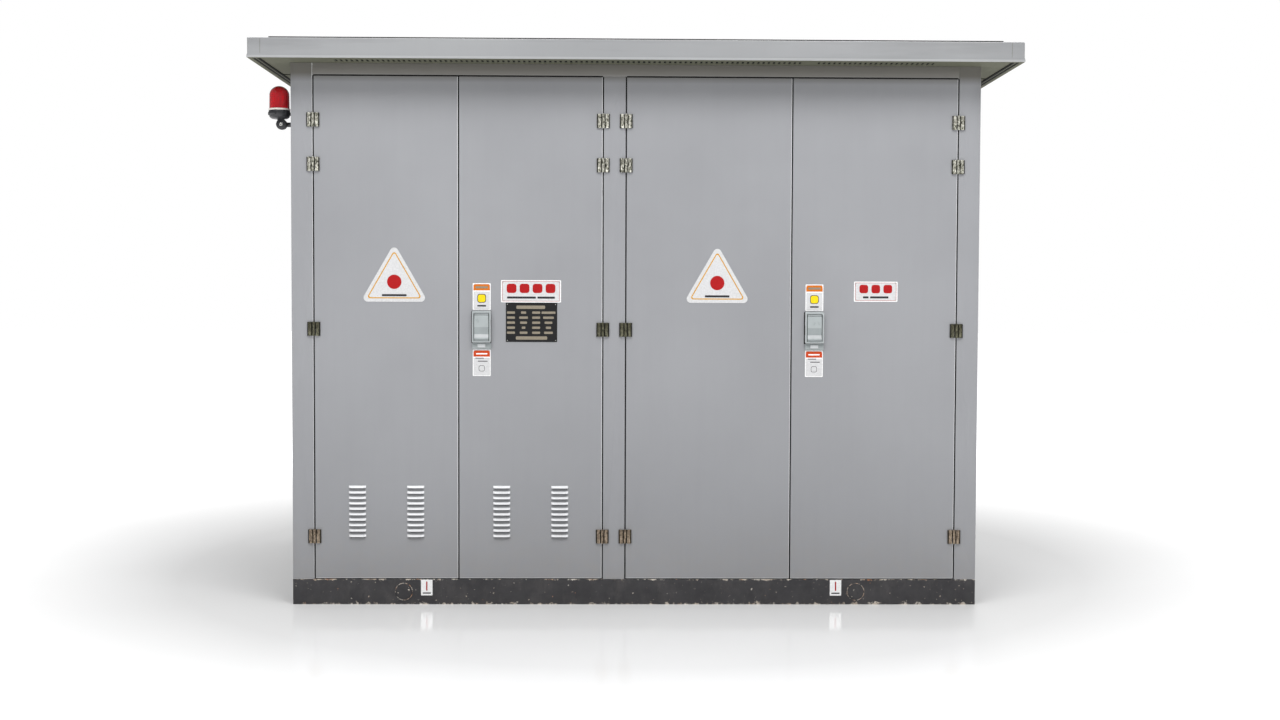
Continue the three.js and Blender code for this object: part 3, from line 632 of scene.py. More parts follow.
# ---------------------------------------------------------------- hinges
HINGE_HEIGHTS = [268 * MM, 1079 * MM, 1718 * MM, 1889 * MM]
HINGE_HALF = 27 * MM
KNUCKLE = 5.4 * MM
POST_LEAVES = {1: "left_post_hinge_leaves", 2: "centre_post_hinge_leaves", 3: "centre_post_hinge_leaves",
               4: "right_post_hinge_leaves"}


def add_hinge_leaf(bm, side, low, high, z):
    """Cast leaf with a raised field, a groove beside the knuckle and another near its outer edge."""
    face = FRONT - 0.2 * MM
    outline = [(5.8, 0), (5.8, 1.2), (8.2, 1.2), (8.6, 6.2), (9.4, 7.0), (13, 7.4), (20.4, 6.6), (20.8, 2.6),
               (22.4, 2.6), (22.8, 6), (24.4, 5.2), (25, 3), (25, 0)]
    # the grooves, the underside and the strip by the knuckle take material 1, a painted shade
    dark = dict.fromkeys((1, 2, 7, 8, 9, 11), 1)
    lower = [bm.verts.new((side * u * MM, face - v * MM, z - HINGE_HALF)) for u, v in outline]
    upper = [bm.verts.new((side * u * MM, face - v * MM, z + HINGE_HALF)) for u, v in outline]
    join_rings(bm, lower, upper, 0, dark)
    bm.faces.new(lower).material_index = 1
    bm.faces.new(upper[::-1])
    add_box(bm, (0, face, low), (side * 8.4 * MM, face - 1.4 * MM, high), 1)


def build_hinges():
    """Four surface hinges for each leaf. The post's half carries the pin and the lower knuckles."""
    for number, door in DOORS.items():
        for on_door in (True, False):
            bm = bmesh.new()
            side = door["hand"] if on_door else -door["hand"]
            for z in HINGE_HEIGHTS:
                start = len(bm.verts)
                low, high = (z + 0.4 * MM, z + HINGE_HALF) if on_door else (z - HINGE_HALF, z - 0.1 * MM)
                add_hinge_leaf(bm, side, low, high, z)
                axis_y = FRONT - KNUCKLE
                chamfer = 0.8 * MM
                add_turned(bm, [(0, low), (KNUCKLE - chamfer, low), (KNUCKLE, low + chamfer),
                                (KNUCKLE, high - chamfer), (KNUCKLE - chamfer, high), (0, high)],
                           (0, axis_y, 0), "z", 20)
                if not on_door:
                    head = in_mm((0, 0.1), (3.4, 0.1), (3.4, 1.2), (2.38, 2), (0, 2), base=z + HINGE_HALF)
                    add_turned(bm, head, (0, axis_y, 0), "z", 16)
                bm.verts.ensure_lookup_table()
                for vertex in bm.verts[start:]:
                    vertex.co.x += door["hinge"]
            owner = f"door_{number}" if on_door else "kiosk"
            node = f"door_{number}_hinge_leaves" if on_door else POST_LEAVES[number]
            name = node if on_door else f"door_{number}_hinge_post_side"
            make_piece(bm, f"{name}_cast", ["hinge_nickel", "hinge_tarnish"], owner, "hinge_nickel", [node],
                       bevel=0.5 * MM)


# ---------------------------------------------------------------- locks
def rounded_outline(width, height, radius, steps=4):
    points = []
    for cx, cz, start in ((1, 1, 0), (-1, 1, 90), (-1, -1, 180), (1, -1, 270)):
        for i in range(steps + 1):
            angle = math.radians(start + 90 * i / steps)
            points.append((cx * (width / 2 - radius) + radius * math.cos(angle),
                           cz * (height / 2 - radius) + radius * math.sin(angle)))
    return points


def add_plate(bm, outline, centre, face, thickness, material=0):
    """Flat plate with a free outline, standing out of the face towards the front."""
    cx, cz = centre
    back = [bm.verts.new((cx + u, face, cz + v)) for u, v in outline]
    front = [bm.verts.new((cx + u, face - thickness, cz + v)) for u, v in outline]
    join_rings(bm, back, front, material)
    bm.faces.new(back).material_index = material
    bm.faces.new(front[::-1]).material_index = material


def add_frame_plate(bm, outer, inner, centre, face, thickness, material=0):
    """Flat ring between two outlines that have the same number of points."""
    cx, cz = centre
    loops = []
    for outline in (outer, inner):
        for y in (face, face - thickness):
            loops.append([bm.verts.new((cx + u, y, cz + v)) for u, v in outline])
    outer_back, outer_front, inner_back, inner_front = loops
    for a, b in ((outer_back, outer_front), (outer_front, inner_front), (inner_front, inner_back),
                 (inner_back, outer_back)):
        join_rings(bm, a, b, material)


def build_lock(number):
    """Recessed swing-handle lock: framed well with a weather flap, a bridge with a tab, and the wing knob."""
    low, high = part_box(f"lock_housing_{number}")
    x = (low.x + high.x) / 2
    face = DOORS[number]["box"][0].y - 0.2 * MM
    body = f"door_{number}"
    flap_low, flap_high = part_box(f"lock_flap_{number}")
    flap_z = (flap_low.z + flap_high.z) / 2
    depth = face - low.y

    bm = bmesh.new()
    frame_z, frame_w, frame_h = flap_z + 2 * MM, 73 * MM, 124 * MM
    outer = rounded_outline(frame_w, frame_h, 5 * MM)
    middle = rounded_outline(frame_w - 3 * MM, frame_h - 3 * MM, 4 * MM)
    inner = [(u, v - 1.5 * MM) for u, v in rounded_outline(61 * MM, 109.5 * MM, 3 * MM)]
    # the frame's outer rim is pale plastic, partly a painted highlight
    add_frame_plate(bm, outer, middle, (x, frame_z), face, depth - 1 * MM, 1)
    add_frame_plate(bm, middle, inner, (x, frame_z), face, depth)
    # a black plate in the well round the flap, a painted shade
    add_plate(bm, rounded_outline(61.5 * MM, 110 * MM, 3 * MM), (x, flap_z), face, 3 * MM, 2)
    # a black outline shifted to the lower left, a painted shadow
    add_plate(bm, rounded_outline(frame_w + 4.5 * MM, frame_h + 3 * MM, 5 * MM),
              (x - 1.4 * MM, frame_z - 1.4 * MM), face, 2 * MM, 2)
    make_piece(bm, f"lock_housing_{number}_case", ["lock_plastic", "lock_rim", "seal_rubber"], body,
               "lock_plastic", [f"lock_housing_{number}"], bevel=1.0 * MM, segments=3)

    bm = bmesh.new()
    bridge_top = frame_z - frame_h / 2 - 1.5 * MM
    bridge_z = (low.z + bridge_top) / 2
    add_plate(bm, rounded_outline(73 * MM, bridge_top - low.z, 2.5 * MM), (x, bridge_z), face, 7 * MM)
    add_plate(bm, rounded_outline(31 * MM, 14 * MM, 2 * MM), (x, bridge_z + 1 * MM), face - 7 * MM, 3 * MM, 1)
    # a black strip along the bridge's top, a painted shadow under the frame
    add_plate(bm, rounded_outline(72 * MM, 5 * MM, 1 * MM), (x, bridge_top + 0.5 * MM), face, 2 * MM, 2)
    make_piece(bm, f"lock_bridge_{number}", ["lock_shade", "lock_rim", "seal_rubber"], body, "lock_plastic",
               bevel=0.8 * MM)

    build_flap(number, x, flap_low, flap_high)

    centre_z = JOINTS[f"knob_{number}_turn"]["pos_m"][2]
    bm = bmesh.new()
    add_plate(bm, rounded_outline(14 * MM, 52 * MM, 6.9 * MM), (x, centre_z), FRONT - 6 * MM, 7 * MM)
    collar = in_mm((0, 0), (13, 0), (13, 2.5), (11.5, 3.5), (0, 3.5))
    add_turned(bm, collar, (x, FRONT - 3.5 * MM, centre_z), "y", 32)
    make_piece(bm, f"lock_knob_{number}_wing", ["dark_plastic"], f"knob_{number}", "dark_plastic",
               [f"lock_knob_{number}"], bevel=1.2 * MM, segments=3)


def build_flap(number, x, low, high):
    """Weather flap: top edge painted black as shade, upper field leaning back, lower field leaning in, and a
    finger lip whose face is a painted highlight.
    """
    bm = bmesh.new()
    half = (high.x - low.x) / 2 - 1.6 * MM
    front, back = low.y, high.y
    waist, scoop, lip = low.z + 54 * MM, low.z + 26 * MM, low.z + 13 * MM
    profile = [(back - 2 * MM, high.z), (front + 4 * MM, high.z), (front + 3.6 * MM, high.z - 5 * MM),
               (front + 1.4 * MM, high.z - 7 * MM), (front - 0.6 * MM, waist), (front + 2.6 * MM, scoop),
               (front - 2.2 * MM, lip), (front - 3 * MM, low.z + 8 * MM), (front + 0.5 * MM, low.z + 6 * MM),
               (front + 1.5 * MM, low.z), (front + 3.5 * MM, low.z), (front + 4.5 * MM, lip),
               (front + 3.9 * MM, scoop), (back, waist), (back, high.z - 2 * MM)]
    # faces: painted shade on the top edge (2) and on the lower field and underside (1), a painted highlight on the
    # finger lip (3)
    tone = {1: 2, 2: 2, 4: 1, 5: 3, 7: 1, 8: 1, 9: 1}
    left = [bm.verts.new((x - half, y, z)) for y, z in profile]
    right = [bm.verts.new((x + half, y, z)) for y, z in profile]
    join_rings(bm, left, right, 0, tone)
    bm.faces.new(left[::-1])
    bm.faces.new(right)
    make_piece(bm, f"lock_flap_{number}_cover", ["lock_plastic", "lock_shade", "seal_rubber", "lock_rim"],
               f"flap_{number}", "lock_plastic", [f"lock_flap_{number}"], bevel=0.5 * MM, segments=3)


# ---------------------------------------------------------------- plates and printed signs
INK = 0.25 * MM
PLATE = 1.0 * MM


def bar(width, height):
    return rounded_outline(width, height, min(width, height) * 0.25, 2)


def bar_row(bm, centre, face, widths, height, space, material):
    """A row of plain bars centred on a point, in place of a line of text."""
    total = sum(widths) + space * (len(widths) - 1)
    x = centre[0] - total / 2
    for width in widths:
        add_plate(bm, bar(width, height), (x + width / 2, centre[1]), face, INK, material)
        x += width + space


def corner_rivets(bm, centre, width, height, inset, face, material, radius=2.0 * MM):
    for sx in (-1, 1):
        for sz in (-1, 1):
            place = (centre[0] + sx * (width / 2 - inset), face, centre[1] + sz * (height / 2 - inset))
            add_turned(bm, [(0, 0), (radius, 0), (radius * 0.8, radius * 0.35), (0, radius * 0.5)], place,
                       "y", 12, material)


def build_room_sign(number, name, centre, size, blocks, block_size, pitch, small):
    """White sign with a thin red border, plain red blocks and a row of short dark bars."""
    face = DOORS[number]["box"][0].y
    width, height = size
    bm = bmesh.new()
    add_plate(bm, rounded_outline(width, height, 3 * MM), centre, face, PLATE)
    top = face - PLATE
    add_frame_plate(bm, rounded_outline(width - 0.6 * MM, height - 0.6 * MM, 3 * MM),
                    rounded_outline(width - 7 * MM, height - 7 * MM, 2 * MM), centre, top, INK, 4)
    outer = rounded_outline(width - 10 * MM, height - 9 * MM, 2 * MM)
    inner = rounded_outline(width - 12.4 * MM, height - 11.4 * MM, 1.2 * MM)
    add_frame_plate(bm, outer, inner, centre, top, INK, 1)
    block_w, block_h = block_size
    bar_row(bm, (centre[0], centre[1] + height * 0.13), top, [block_w] * blocks, block_h, pitch - block_w, 1)
    bar_row(bm, (centre[0], centre[1] - height * 0.28), top, small, 8 * MM, 6 * MM, 2)
    corner_rivets(bm, centre, width, height, 7.5 * MM, top, 3, 2.6 * MM)
    make_piece(bm, name, ["plate_white", "ink_red", "ink_dark", "bolt_steel", "plate_rim"], f"door_{number}",
               "lock_plastic")


def build_rating_plate():
    """Black plate with a light bar at its top and bottom and four columns of short bars between them."""
    face = DOORS[2]["box"][0].y
    centre, width, height = ((-408 * MM), 1107 * MM), 200 * MM, 153 * MM
    bm = bmesh.new()
    add_plate(bm, rounded_outline(width, height, 2 * MM), centre, face, PLATE)
    top = face - PLATE
    bar_row(bm, (centre[0] - 3 * MM, centre[1] + 59 * MM), top, [112 * MM], 13 * MM, 0, 1)
    bar_row(bm, (centre[0], centre[1] - 61 * MM), top, [122 * MM], 13 * MM, 0, 1)
    columns = ((-80, (31, 31, 31, 31, 31)), (-31, (20, 34, 27, 14, 30)), (18, (31, 31, 31, 31, 31)),
               (66, (54, 42, 30, 20, 34)))
    for middle, widths in columns:
        for row, wide in enumerate(widths):
            place = (centre[0] + middle * MM, centre[1] + (38 - row * 19.6) * MM)
            bar_row(bm, place, top, [wide * MM], 9 * MM, 0, 1)
    corner_rivets(bm, centre, width, height, 6 * MM, top, 2)
    make_piece(bm, "rating_plate", ["plate_black", "ink_cream", "bolt_steel"], "door_2", "dark_plastic")


def triangle_outline(side, radius, steps=5):
    height = side * math.sqrt(3) / 2
    corners = [(0, height * 2 / 3), (-side / 2, -height / 3), (side / 2, -height / 3)]
    points = []
    for (cx, cz), middle in zip(corners, (90, 210, 330)):
        reach = math.hypot(cx, cz) - 2 * radius
        bx, bz = reach * math.cos(math.radians(middle)), reach * math.sin(math.radians(middle))
        for i in range(steps + 1):
            angle = math.radians(middle - 60 + 120 * i / steps)
            points.append((bx + radius * math.cos(angle), bz + radius * math.sin(angle)))
    return points


def build_triangle(number, x):
    """Plain three-cornered enamel plate with an amber line, a red disc and a dark bar."""
    face = DOORS[number]["box"][0].y
    centre = (x, 1261 * MM)
    bm = bmesh.new()
    add_plate(bm, triangle_outline(262 * MM, 16 * MM), centre, face, PLATE)
    top = face - PLATE
    add_frame_plate(bm, triangle_outline(216 * MM, 8 * MM), triangle_outline(202 * MM, 5.5 * MM), centre, top,
                    INK, 1)
    add_plate(bm, ring_points(28 * MM, 40), (x, centre[1] + 2 * MM), top, INK, 2)
    bar_row(bm, (x, centre[1] - 50 * MM), top, [96 * MM], 8 * MM, 0, 3)
    make_piece(bm, f"triangle_plate_{number}", ["plate_white", "ink_amber", "ink_red", "ink_dark"],
               f"door_{number}", "lock_plastic")


def build_lock_labels(number):
    """Printed plates above and below a lock: coloured head, then a yellow square, or two bars and a box."""
    low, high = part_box(f"lock_housing_{number}")
    x = (low.x + high.x) / 2
    face = DOORS[number]["box"][0].y
    width, height = 70 * MM, 104 * MM
    for place, middle, header in (("top", high.z + 54 * MM, "ink_orange"),
                                  ("bottom", low.z - 54 * MM, "ink_scarlet")):
        bm = bmesh.new()
        add_plate(bm, rounded_outline(width, height, 2 * MM), (x, middle), face, 0.6 * MM)
        top = face - 0.6 * MM
        add_frame_plate(bm, rounded_outline(width - 0.5 * MM, height - 0.5 * MM, 2 * MM),
                        rounded_outline(width - 6 * MM, height - 6 * MM, 3 * MM), (x, middle), top, INK, 4)
        cut, head_w, head_h = 5 * MM, 64 * MM, 24 * MM
        outline = [(-head_w / 2, -head_h / 2), (head_w / 2, -head_h / 2), (head_w / 2, head_h / 2 - cut),
                   (head_w / 2 - cut, head_h / 2), (-head_w / 2 + cut, head_h / 2),
                   (-head_w / 2, head_h / 2 - cut)]
        head = (x, middle + height / 2 - 16 * MM)
        add_plate(bm, outline, head, top - INK, INK, 1)
        bar_row(bm, (x, head[1] - head_h / 2 - 2.4 * MM), top, [width - 7 * MM], 4 * MM, 0, 4)
        if place == "top":
            bar_row(bm, head, top - 2 * INK, [48 * MM], 8 * MM, 0, 5)
            sign = (x, middle - 7 * MM)
            add_plate(bm, bar(34 * MM, 34 * MM), sign, top, INK, 2)
            add_plate(bm, bar(29 * MM, 29 * MM), sign, top - INK, INK, 3)
            bar_row(bm, (x, middle - 36 * MM), top, [34 * MM], 6 * MM, 0, 2)
        else:
            bar_row(bm, (x, head[1] - 1 * MM), top - 2 * INK, [44 * MM], 5 * MM, 0, 4)
            bar_row(bm, (x - 8 * MM, middle + 18 * MM), top, [33 * MM], 3 * MM, 0, 2)
            bar_row(bm, (x + 4 * MM, middle + 6 * MM), top, [38 * MM], 3 * MM, 0, 2)
            box_place = (x, middle - 22 * MM)
            add_frame_plate(bm, bar(23 * MM, 23 * MM), bar(20 * MM, 20 * MM), box_place, top, INK, 2)
        make_piece(bm, f"lock_label_{place}_{number}",
                   ["plate_white", header, "ink_dark", "ink_yellow", "plate_rim", "ink_cream"],
                   f"door_{number}", "lock_plastic")


def build_base_stickers():
    for name, x in (("left", -817.5 * MM), ("right", 789 * MM)):
        bm = bmesh.new()
        centre = (x, 66 * MM)
        add_plate(bm, rounded_outline(45 * MM, 62 * MM, 1.5 * MM), centre, FRONT, 0.5 * MM)
        top = FRONT - 0.5 * MM
        bar_row(bm, (x, centre[1] + 6 * MM), top, [5 * MM], 36 * MM, 0, 1)
        bar_row(bm, (x, centre[1] - 21.5 * MM), top, [32 * MM], 5 * MM, 0, 2)
        make_piece(bm, f"base_sticker_{name}", ["plate_rim", "ink_red", "ink_dark"], "kiosk", "lock_plastic")


def build_plates():
    build_triangle(1, -941.5 * MM)
    build_triangle(3, 316 * MM)
    build_room_sign(2, "room_sign_left", (-410 * MM, 1228 * MM), (234 * MM, 87 * MM), 4, (38 * MM, 36 * MM),
                    50.5 * MM, [112 * MM, 68 * MM])
    build_room_sign(4, "room_sign_right", (936.5 * MM, 1231.5 * MM), (171 * MM, 79 * MM), 3,
                    (34 * MM, 33 * MM), 47 * MM, [22 * MM, 72 * MM])
    build_rating_plate()
    for number in (2, 4):
        build_lock_labels(number)
    build_base_stickers()


# ---------------------------------------------------------------- roof and eaves
def build_roof():
    """Hipped roof sheet with its folded fascia and lower lip, and the joints at the corners and on top."""
    low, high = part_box("roof_cover")
    eaves_z = low.z + 76 * MM
    run = 340 * MM
    top = high.z - 3 * MM
    corners = ((-1, -1), (1, -1), (1, 1), (-1, 1))
    levels = [(18 * MM, low.z), (0.0, low.z), (0.0, low.z + 9 * MM), (2.2 * MM, low.z + 16 * MM),
              (2.2 * MM, eaves_z - 1 * MM), (4.5 * MM, eaves_z), (run, top)]
    bm = bmesh.new()
    loops = []
    for inset, z in levels:
        loops.append([bm.verts.new((sx * (high.x - inset), sy * (high.y - inset), z)) for sx, sy in corners])
    # level faces: the lip's underside takes painted shade (2); the fascia's bottom band and top step take a
    # painted highlight (1)
    tone = {0: 2, 1: 1, 4: 1}
    for level, (lower, upper) in enumerate(zip(loops, loops[1:])):
        join_rings(bm, lower, upper, tone.get(level, 0))
    bm.faces.new(loops[-1])
    make_piece(bm, "roof_sheet", ["roof_paint", "roof_edge_paint", "eaves_paint"], "kiosk", "roof_paint",
               ["roof_cover"], bevel=2.2 * MM, segments=3, thickness=2.5 * MM)

    bm = bmesh.new()
    seam = high.x - 51 * MM
    for sx, sy in corners:
        face = sy * (high.y - 2.2 * MM)
        add_box(bm, (sx * seam, face + sy * 0.25 * MM, low.z + 17 * MM),
                (sx * (seam + 1.0 * MM), face, eaves_z - 3 * MM))
    # the seams take the painted shade colour of the eaves
    make_piece(bm, "fascia_seams", ["eaves_paint"], "kiosk", "roof_paint")
    build_roof_joints(high, eaves_z, run, top)


def build_roof_joints(high, eaves_z, run, top):
    """Riveted cover strips over the hips and the two sheet joints, and a sealing bead near the edge."""
    bm = bmesh.new()
    half, proud = 22 * MM, 1.2 * MM
    joint_x, strip_start = 480 * MM, 90 * MM
    slope = (top - eaves_z) / run
    lift = Vector((0, 0, proud))

    def strip(a, b, across):
        """Flat strip from a to b, with its width along the given direction."""
        a, b, across = Vector(a), Vector(b), Vector(across).normalized() * half
        lower = [a - across, a + across, b + across, b - across]
        corners = [bm.verts.new(v - lift * 0.5) for v in lower] + [bm.verts.new(v + lift) for v in lower]
        for quad in ((0, 1, 2, 3), (7, 6, 5, 4), (0, 4, 5, 1), (1, 5, 6, 2), (2, 6, 7, 3), (3, 7, 4, 0)):
            bm.faces.new([corners[i] for i in quad])
        count = max(2, int((b - a).length / 0.12))
        for i in range(count):
            middle = a.lerp(b, (i + 0.5) / count) + lift
            for side in (-0.6, 0.6):
                rivet = in_mm((0, 0), (3.6, 0), (2.6, 0.8), (0, 1))
                add_turned(bm, rivet, middle + across * side, "z", 10)

    for sx in (-1, 1):
        for sy in (-1, 1):
            outer = (sx * (high.x - strip_start), sy * (high.y - strip_start), eaves_z + slope * strip_start)
            inner = (sx * (high.x - run), sy * (high.y - run), top)
            strip(outer, inner, (sx, -sy, 0))
    for x in (-joint_x, joint_x):
        edge = high.y - run
        strip((x, -edge, top), (x, edge, top), (1, 0, 0))
        for sy in (-1, 1):
            strip((x, sy * (high.y - strip_start), eaves_z + slope * strip_start), (x, sy * edge, top),
                  (1, 0, 0))
    make_piece(bm, "roof_joint_strips", ["roof_paint"], "kiosk", "roof_paint")
    bm = bmesh.new()
    inset, wide = 67 * MM, 6 * MM
    x, y, z = high.x - inset, high.y - inset, eaves_z + slope * inset
    for side in (-1, 1):
        add_box(bm, (-x, side * y, z - 2 * MM), (x, side * (y - wide), z + 4 * MM))
        add_box(bm, (side * x, wide - y, z - 2 * MM), (side * (x - wide), y - wide, z + 4 * MM))
    make_piece(bm, "roof_sealing_bead", ["seal_rubber"], "kiosk", "dark_plastic", bevel=1.2 * MM)


SLOT_PITCH = 20 * MM
SLOT_WIDTH = 9 * MM


def slotted_strip(name, node, along, runs, across):
    """Eaves sheet with rows of vent slots. Along is the axis of the row, across the slots' span."""
    low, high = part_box(node)
    other = 1 - along
    lines = [low[along]]
    for start, end in runs:
        count = int(round((end - start) / SLOT_PITCH))
        for i in range(count):
            lines += [start + i * SLOT_PITCH, start + i * SLOT_PITCH + SLOT_WIDTH]
    lines.append(high[along])
    cross = [low[other], across[0], across[1], high[other]]
    bm = bmesh.new()
    add_grid(bm, lines, cross, lambda u, v: (u, v, low.z) if along == 0 else (v, u, low.z),
             lambda i, k: k == 1 and i % 2 == 1)
    # the eaves sheets carry the painted shade of the eaves
    piece = piece_from(bm, name, ["eaves_paint"])
    modifier = piece.modifiers.new("sheet", "SOLIDIFY")
    modifier.thickness = 1.6 * MM
    modifier.offset = 1 if piece.data.polygons[0].normal.z > 0 else -1
    bake_modifiers(piece)
    finish_piece(piece, "kiosk", [node])


def build_eaves():
    """Eaves sheets on all four sides, the screens above their slots and the trims along the side eaves, whose
    black strips are painted shade.
    """
    half = 1158 * MM
    near, far = 28 * MM, 74 * MM
    slotted_strip("front_eaves_sheet", "front_soffit", 0, [(-half, 640 * MM), (695 * MM, half)],
                  (FRONT - far, FRONT - near))
    slotted_strip("rear_eaves_sheet", "rear_soffit", 0, [(-half, half)], (REAR + near, REAR + far))
    reach = REAR - 290 * MM
    slotted_strip("left_eaves_sheet", "left_soffit", 1, [(-reach, reach)], (LEFT - far, LEFT - near))
    slotted_strip("right_eaves_sheet", "right_soffit", 1, [(-reach, reach)], (RIGHT + near, RIGHT + far))

    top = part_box("front_soffit")[1].z
    bm = bmesh.new()
    for side in (-1, 1):
        add_box(bm, (-half, side * (REAR + near - 4 * MM), top + 0.5 * MM),
                (half, side * (REAR + far + 4 * MM), top + 1.5 * MM))
        add_box(bm, (side * (RIGHT + near - 4 * MM), -reach, top + 0.5 * MM),
                (side * (RIGHT + far + 4 * MM), reach, top + 1.5 * MM))
    make_piece(bm, "eaves_insect_screens", ["seal_rubber"], "kiosk", "dark_plastic")

    low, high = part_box("roof_cover")
    bm = bmesh.new()
    for side in (-1, 1):
        outer = side * (high.x - 18.5 * MM)
        end = high.y - 20 * MM
        # the black strips (1) stand in for the shade of the lip, the gap beside it and the step further back
        add_box(bm, (outer, -end, top - 1.5 * MM), (outer - side * 11 * MM, end, low.z + 1.0 * MM), 1)
        add_box(bm, (outer - side * 11 * MM, -end, top - 1.5 * MM),
                (outer - side * 15 * MM, end, low.z + 0.4 * MM))
        add_box(bm, (outer - side * 15 * MM, -end, top - 1.5 * MM),
                (outer - side * 24 * MM, end, low.z + 1.0 * MM), 1)
        for step in (-1, 1):
            y = step * (REAR - 290 * MM)
            add_box(bm, (side * (RIGHT + 2 * MM), y, low.z + 1.6 * MM),
                    (outer - side * 26 * MM, y + step * 3 * MM, top - 1.5 * MM), 1)
    make_piece(bm, "side_eaves_trims", ["eaves_paint", "seal_rubber"], "kiosk", "roof_paint")


# ---------------------------------------------------------------- beacon
def build_beacon():
    dome_low, dome_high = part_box("beacon_dome")
    x, y = (dome_low.x + dome_high.x) / 2, (dome_low.y + dome_high.y) / 2
    knuckle = Vector(JOINTS["beacon_tilt"]["pos_m"])
    bottom = dome_low.z

    bm = bmesh.new()
    z0 = bottom - 34 * MM
    cup = in_mm((0, 0), (22, 0), (32, 2), (38.5, 8), (39.5, 15), (42, 17), (42, 25), (41, 29), base=z0)
    holder = in_mm((40.5, -1), (14, -1), (14, 22), (0, 22), base=bottom)
    add_turned(bm, cup + holder, (x, y, 0), "z", 48)
    for k in range(6):
        angle = k * math.tau / 6 + 0.3
        place = (x + 40.4 * MM * math.cos(angle), y + 40.4 * MM * math.sin(angle), z0 + 21 * MM)
        add_turned(bm, in_mm((0, -7), (3.2, -7), (3.2, 5), (0, 5)), place, "z", 10)
    add_box(bm, (knuckle.x - 15 * MM, y - 12 * MM, knuckle.z + 4 * MM),
            (knuckle.x + 9 * MM, y - 1 * MM, z0 + 3 * MM))
    disc = in_mm((0, 13), (15, 13), (17, 12), (20, 11), (21, 9.5), (21, 0.3), (0, 0.3))
    add_turned(bm, disc, (knuckle.x, y, knuckle.z), "y", 40)
    make_piece(bm, "beacon_base_moulding", ["dark_plastic"], "beacon_head", "dark_plastic", ["beacon_base"],
               bevel=0.7 * MM)

    bm = bmesh.new()
    screw = in_mm((0, 13), (7.5, 13), (7.5, 15.5), (6.5, 16.5), (3.6, 16.5), (3.2, 14.5), (0, 14.5))
    add_turned(bm, screw, (knuckle.x, y, knuckle.z), "y", 24)
    make_piece(bm, "beacon_knuckle_screw", ["bolt_steel"], "beacon_head", "mirror_silver", bevel=0.3 * MM)

    bm = bmesh.new()
    collar = in_mm((38.5, -1.5), (41.5, -1.5), (41.5, 4.5), (40.4, 5.5), (40.4, -0.5), (38.5, -1.5),
                   base=bottom)
    add_turned(bm, collar, (x, y, 0), "z", 64)
    make_piece(bm, "beacon_collar", ["cream_ring"], "beacon_head", "lock_plastic")

    build_dome(x, y, bottom, dome_high.z)
    build_lamp(x, y, bottom)
    build_bracket(knuckle, y)


def dome_profile(radius, bottom, top, steps=12):
    """Straight wall and a slightly flattened round top."""
    shoulder = top - radius * 0.92
    points = [(radius + 1.2 * MM, bottom), (radius + 1.2 * MM, bottom + 3 * MM), (radius, bottom + 6 * MM),
              (radius - 0.6 * MM, shoulder)]
    for i in range(1, steps + 1):
        angle = math.pi / 2 * i / steps
        points.append(((radius - 0.6 * MM) * math.cos(angle), shoulder + (top - shoulder) * math.sin(angle)))
    points[-1] = (0, top)
    return points


def build_dome(x, y, bottom, top):
    """Red lens: a clear shell, fluted inside so that it breaks up the light."""
    count, radius, wall = 96, 38.6 * MM, 2.4 * MM
    bm = bmesh.new()
    outer = dome_profile(radius, bottom, top)
    inner = [(max(0.0, r - wall), min(z, top - wall)) for r, z in outer]
    rings = []
    for profile, fluted in ((outer, False), (inner, True)):
        layer = []
        for index, (r, z) in enumerate(profile):
            if r < 1e-7 or index == len(profile) - 1:
                layer.append([bm.verts.new((x, y, z))])
                continue
            points = []
            for i in range(count):
                angle = i * math.tau / count
                flute = 0.25 * MM * (i % 4 in (1, 2)) if fluted and 2 < index < 9 else 0.0
                points.append(bm.verts.new((x + (r + flute) * math.cos(angle),
                                            y + (r + flute) * math.sin(angle), z)))
            layer.append(points)
        rings.append(layer)
    for layer in rings:
        for lower, upper in zip(layer, layer[1:]):
            join_rings(bm, lower, upper)
    join_rings(bm, rings[0][0], rings[1][0])
    make_piece(bm, "beacon_dome_lens", ["red_lens"], "beacon_head", "red_lens", ["beacon_dome"],
               smooth_angle=50)


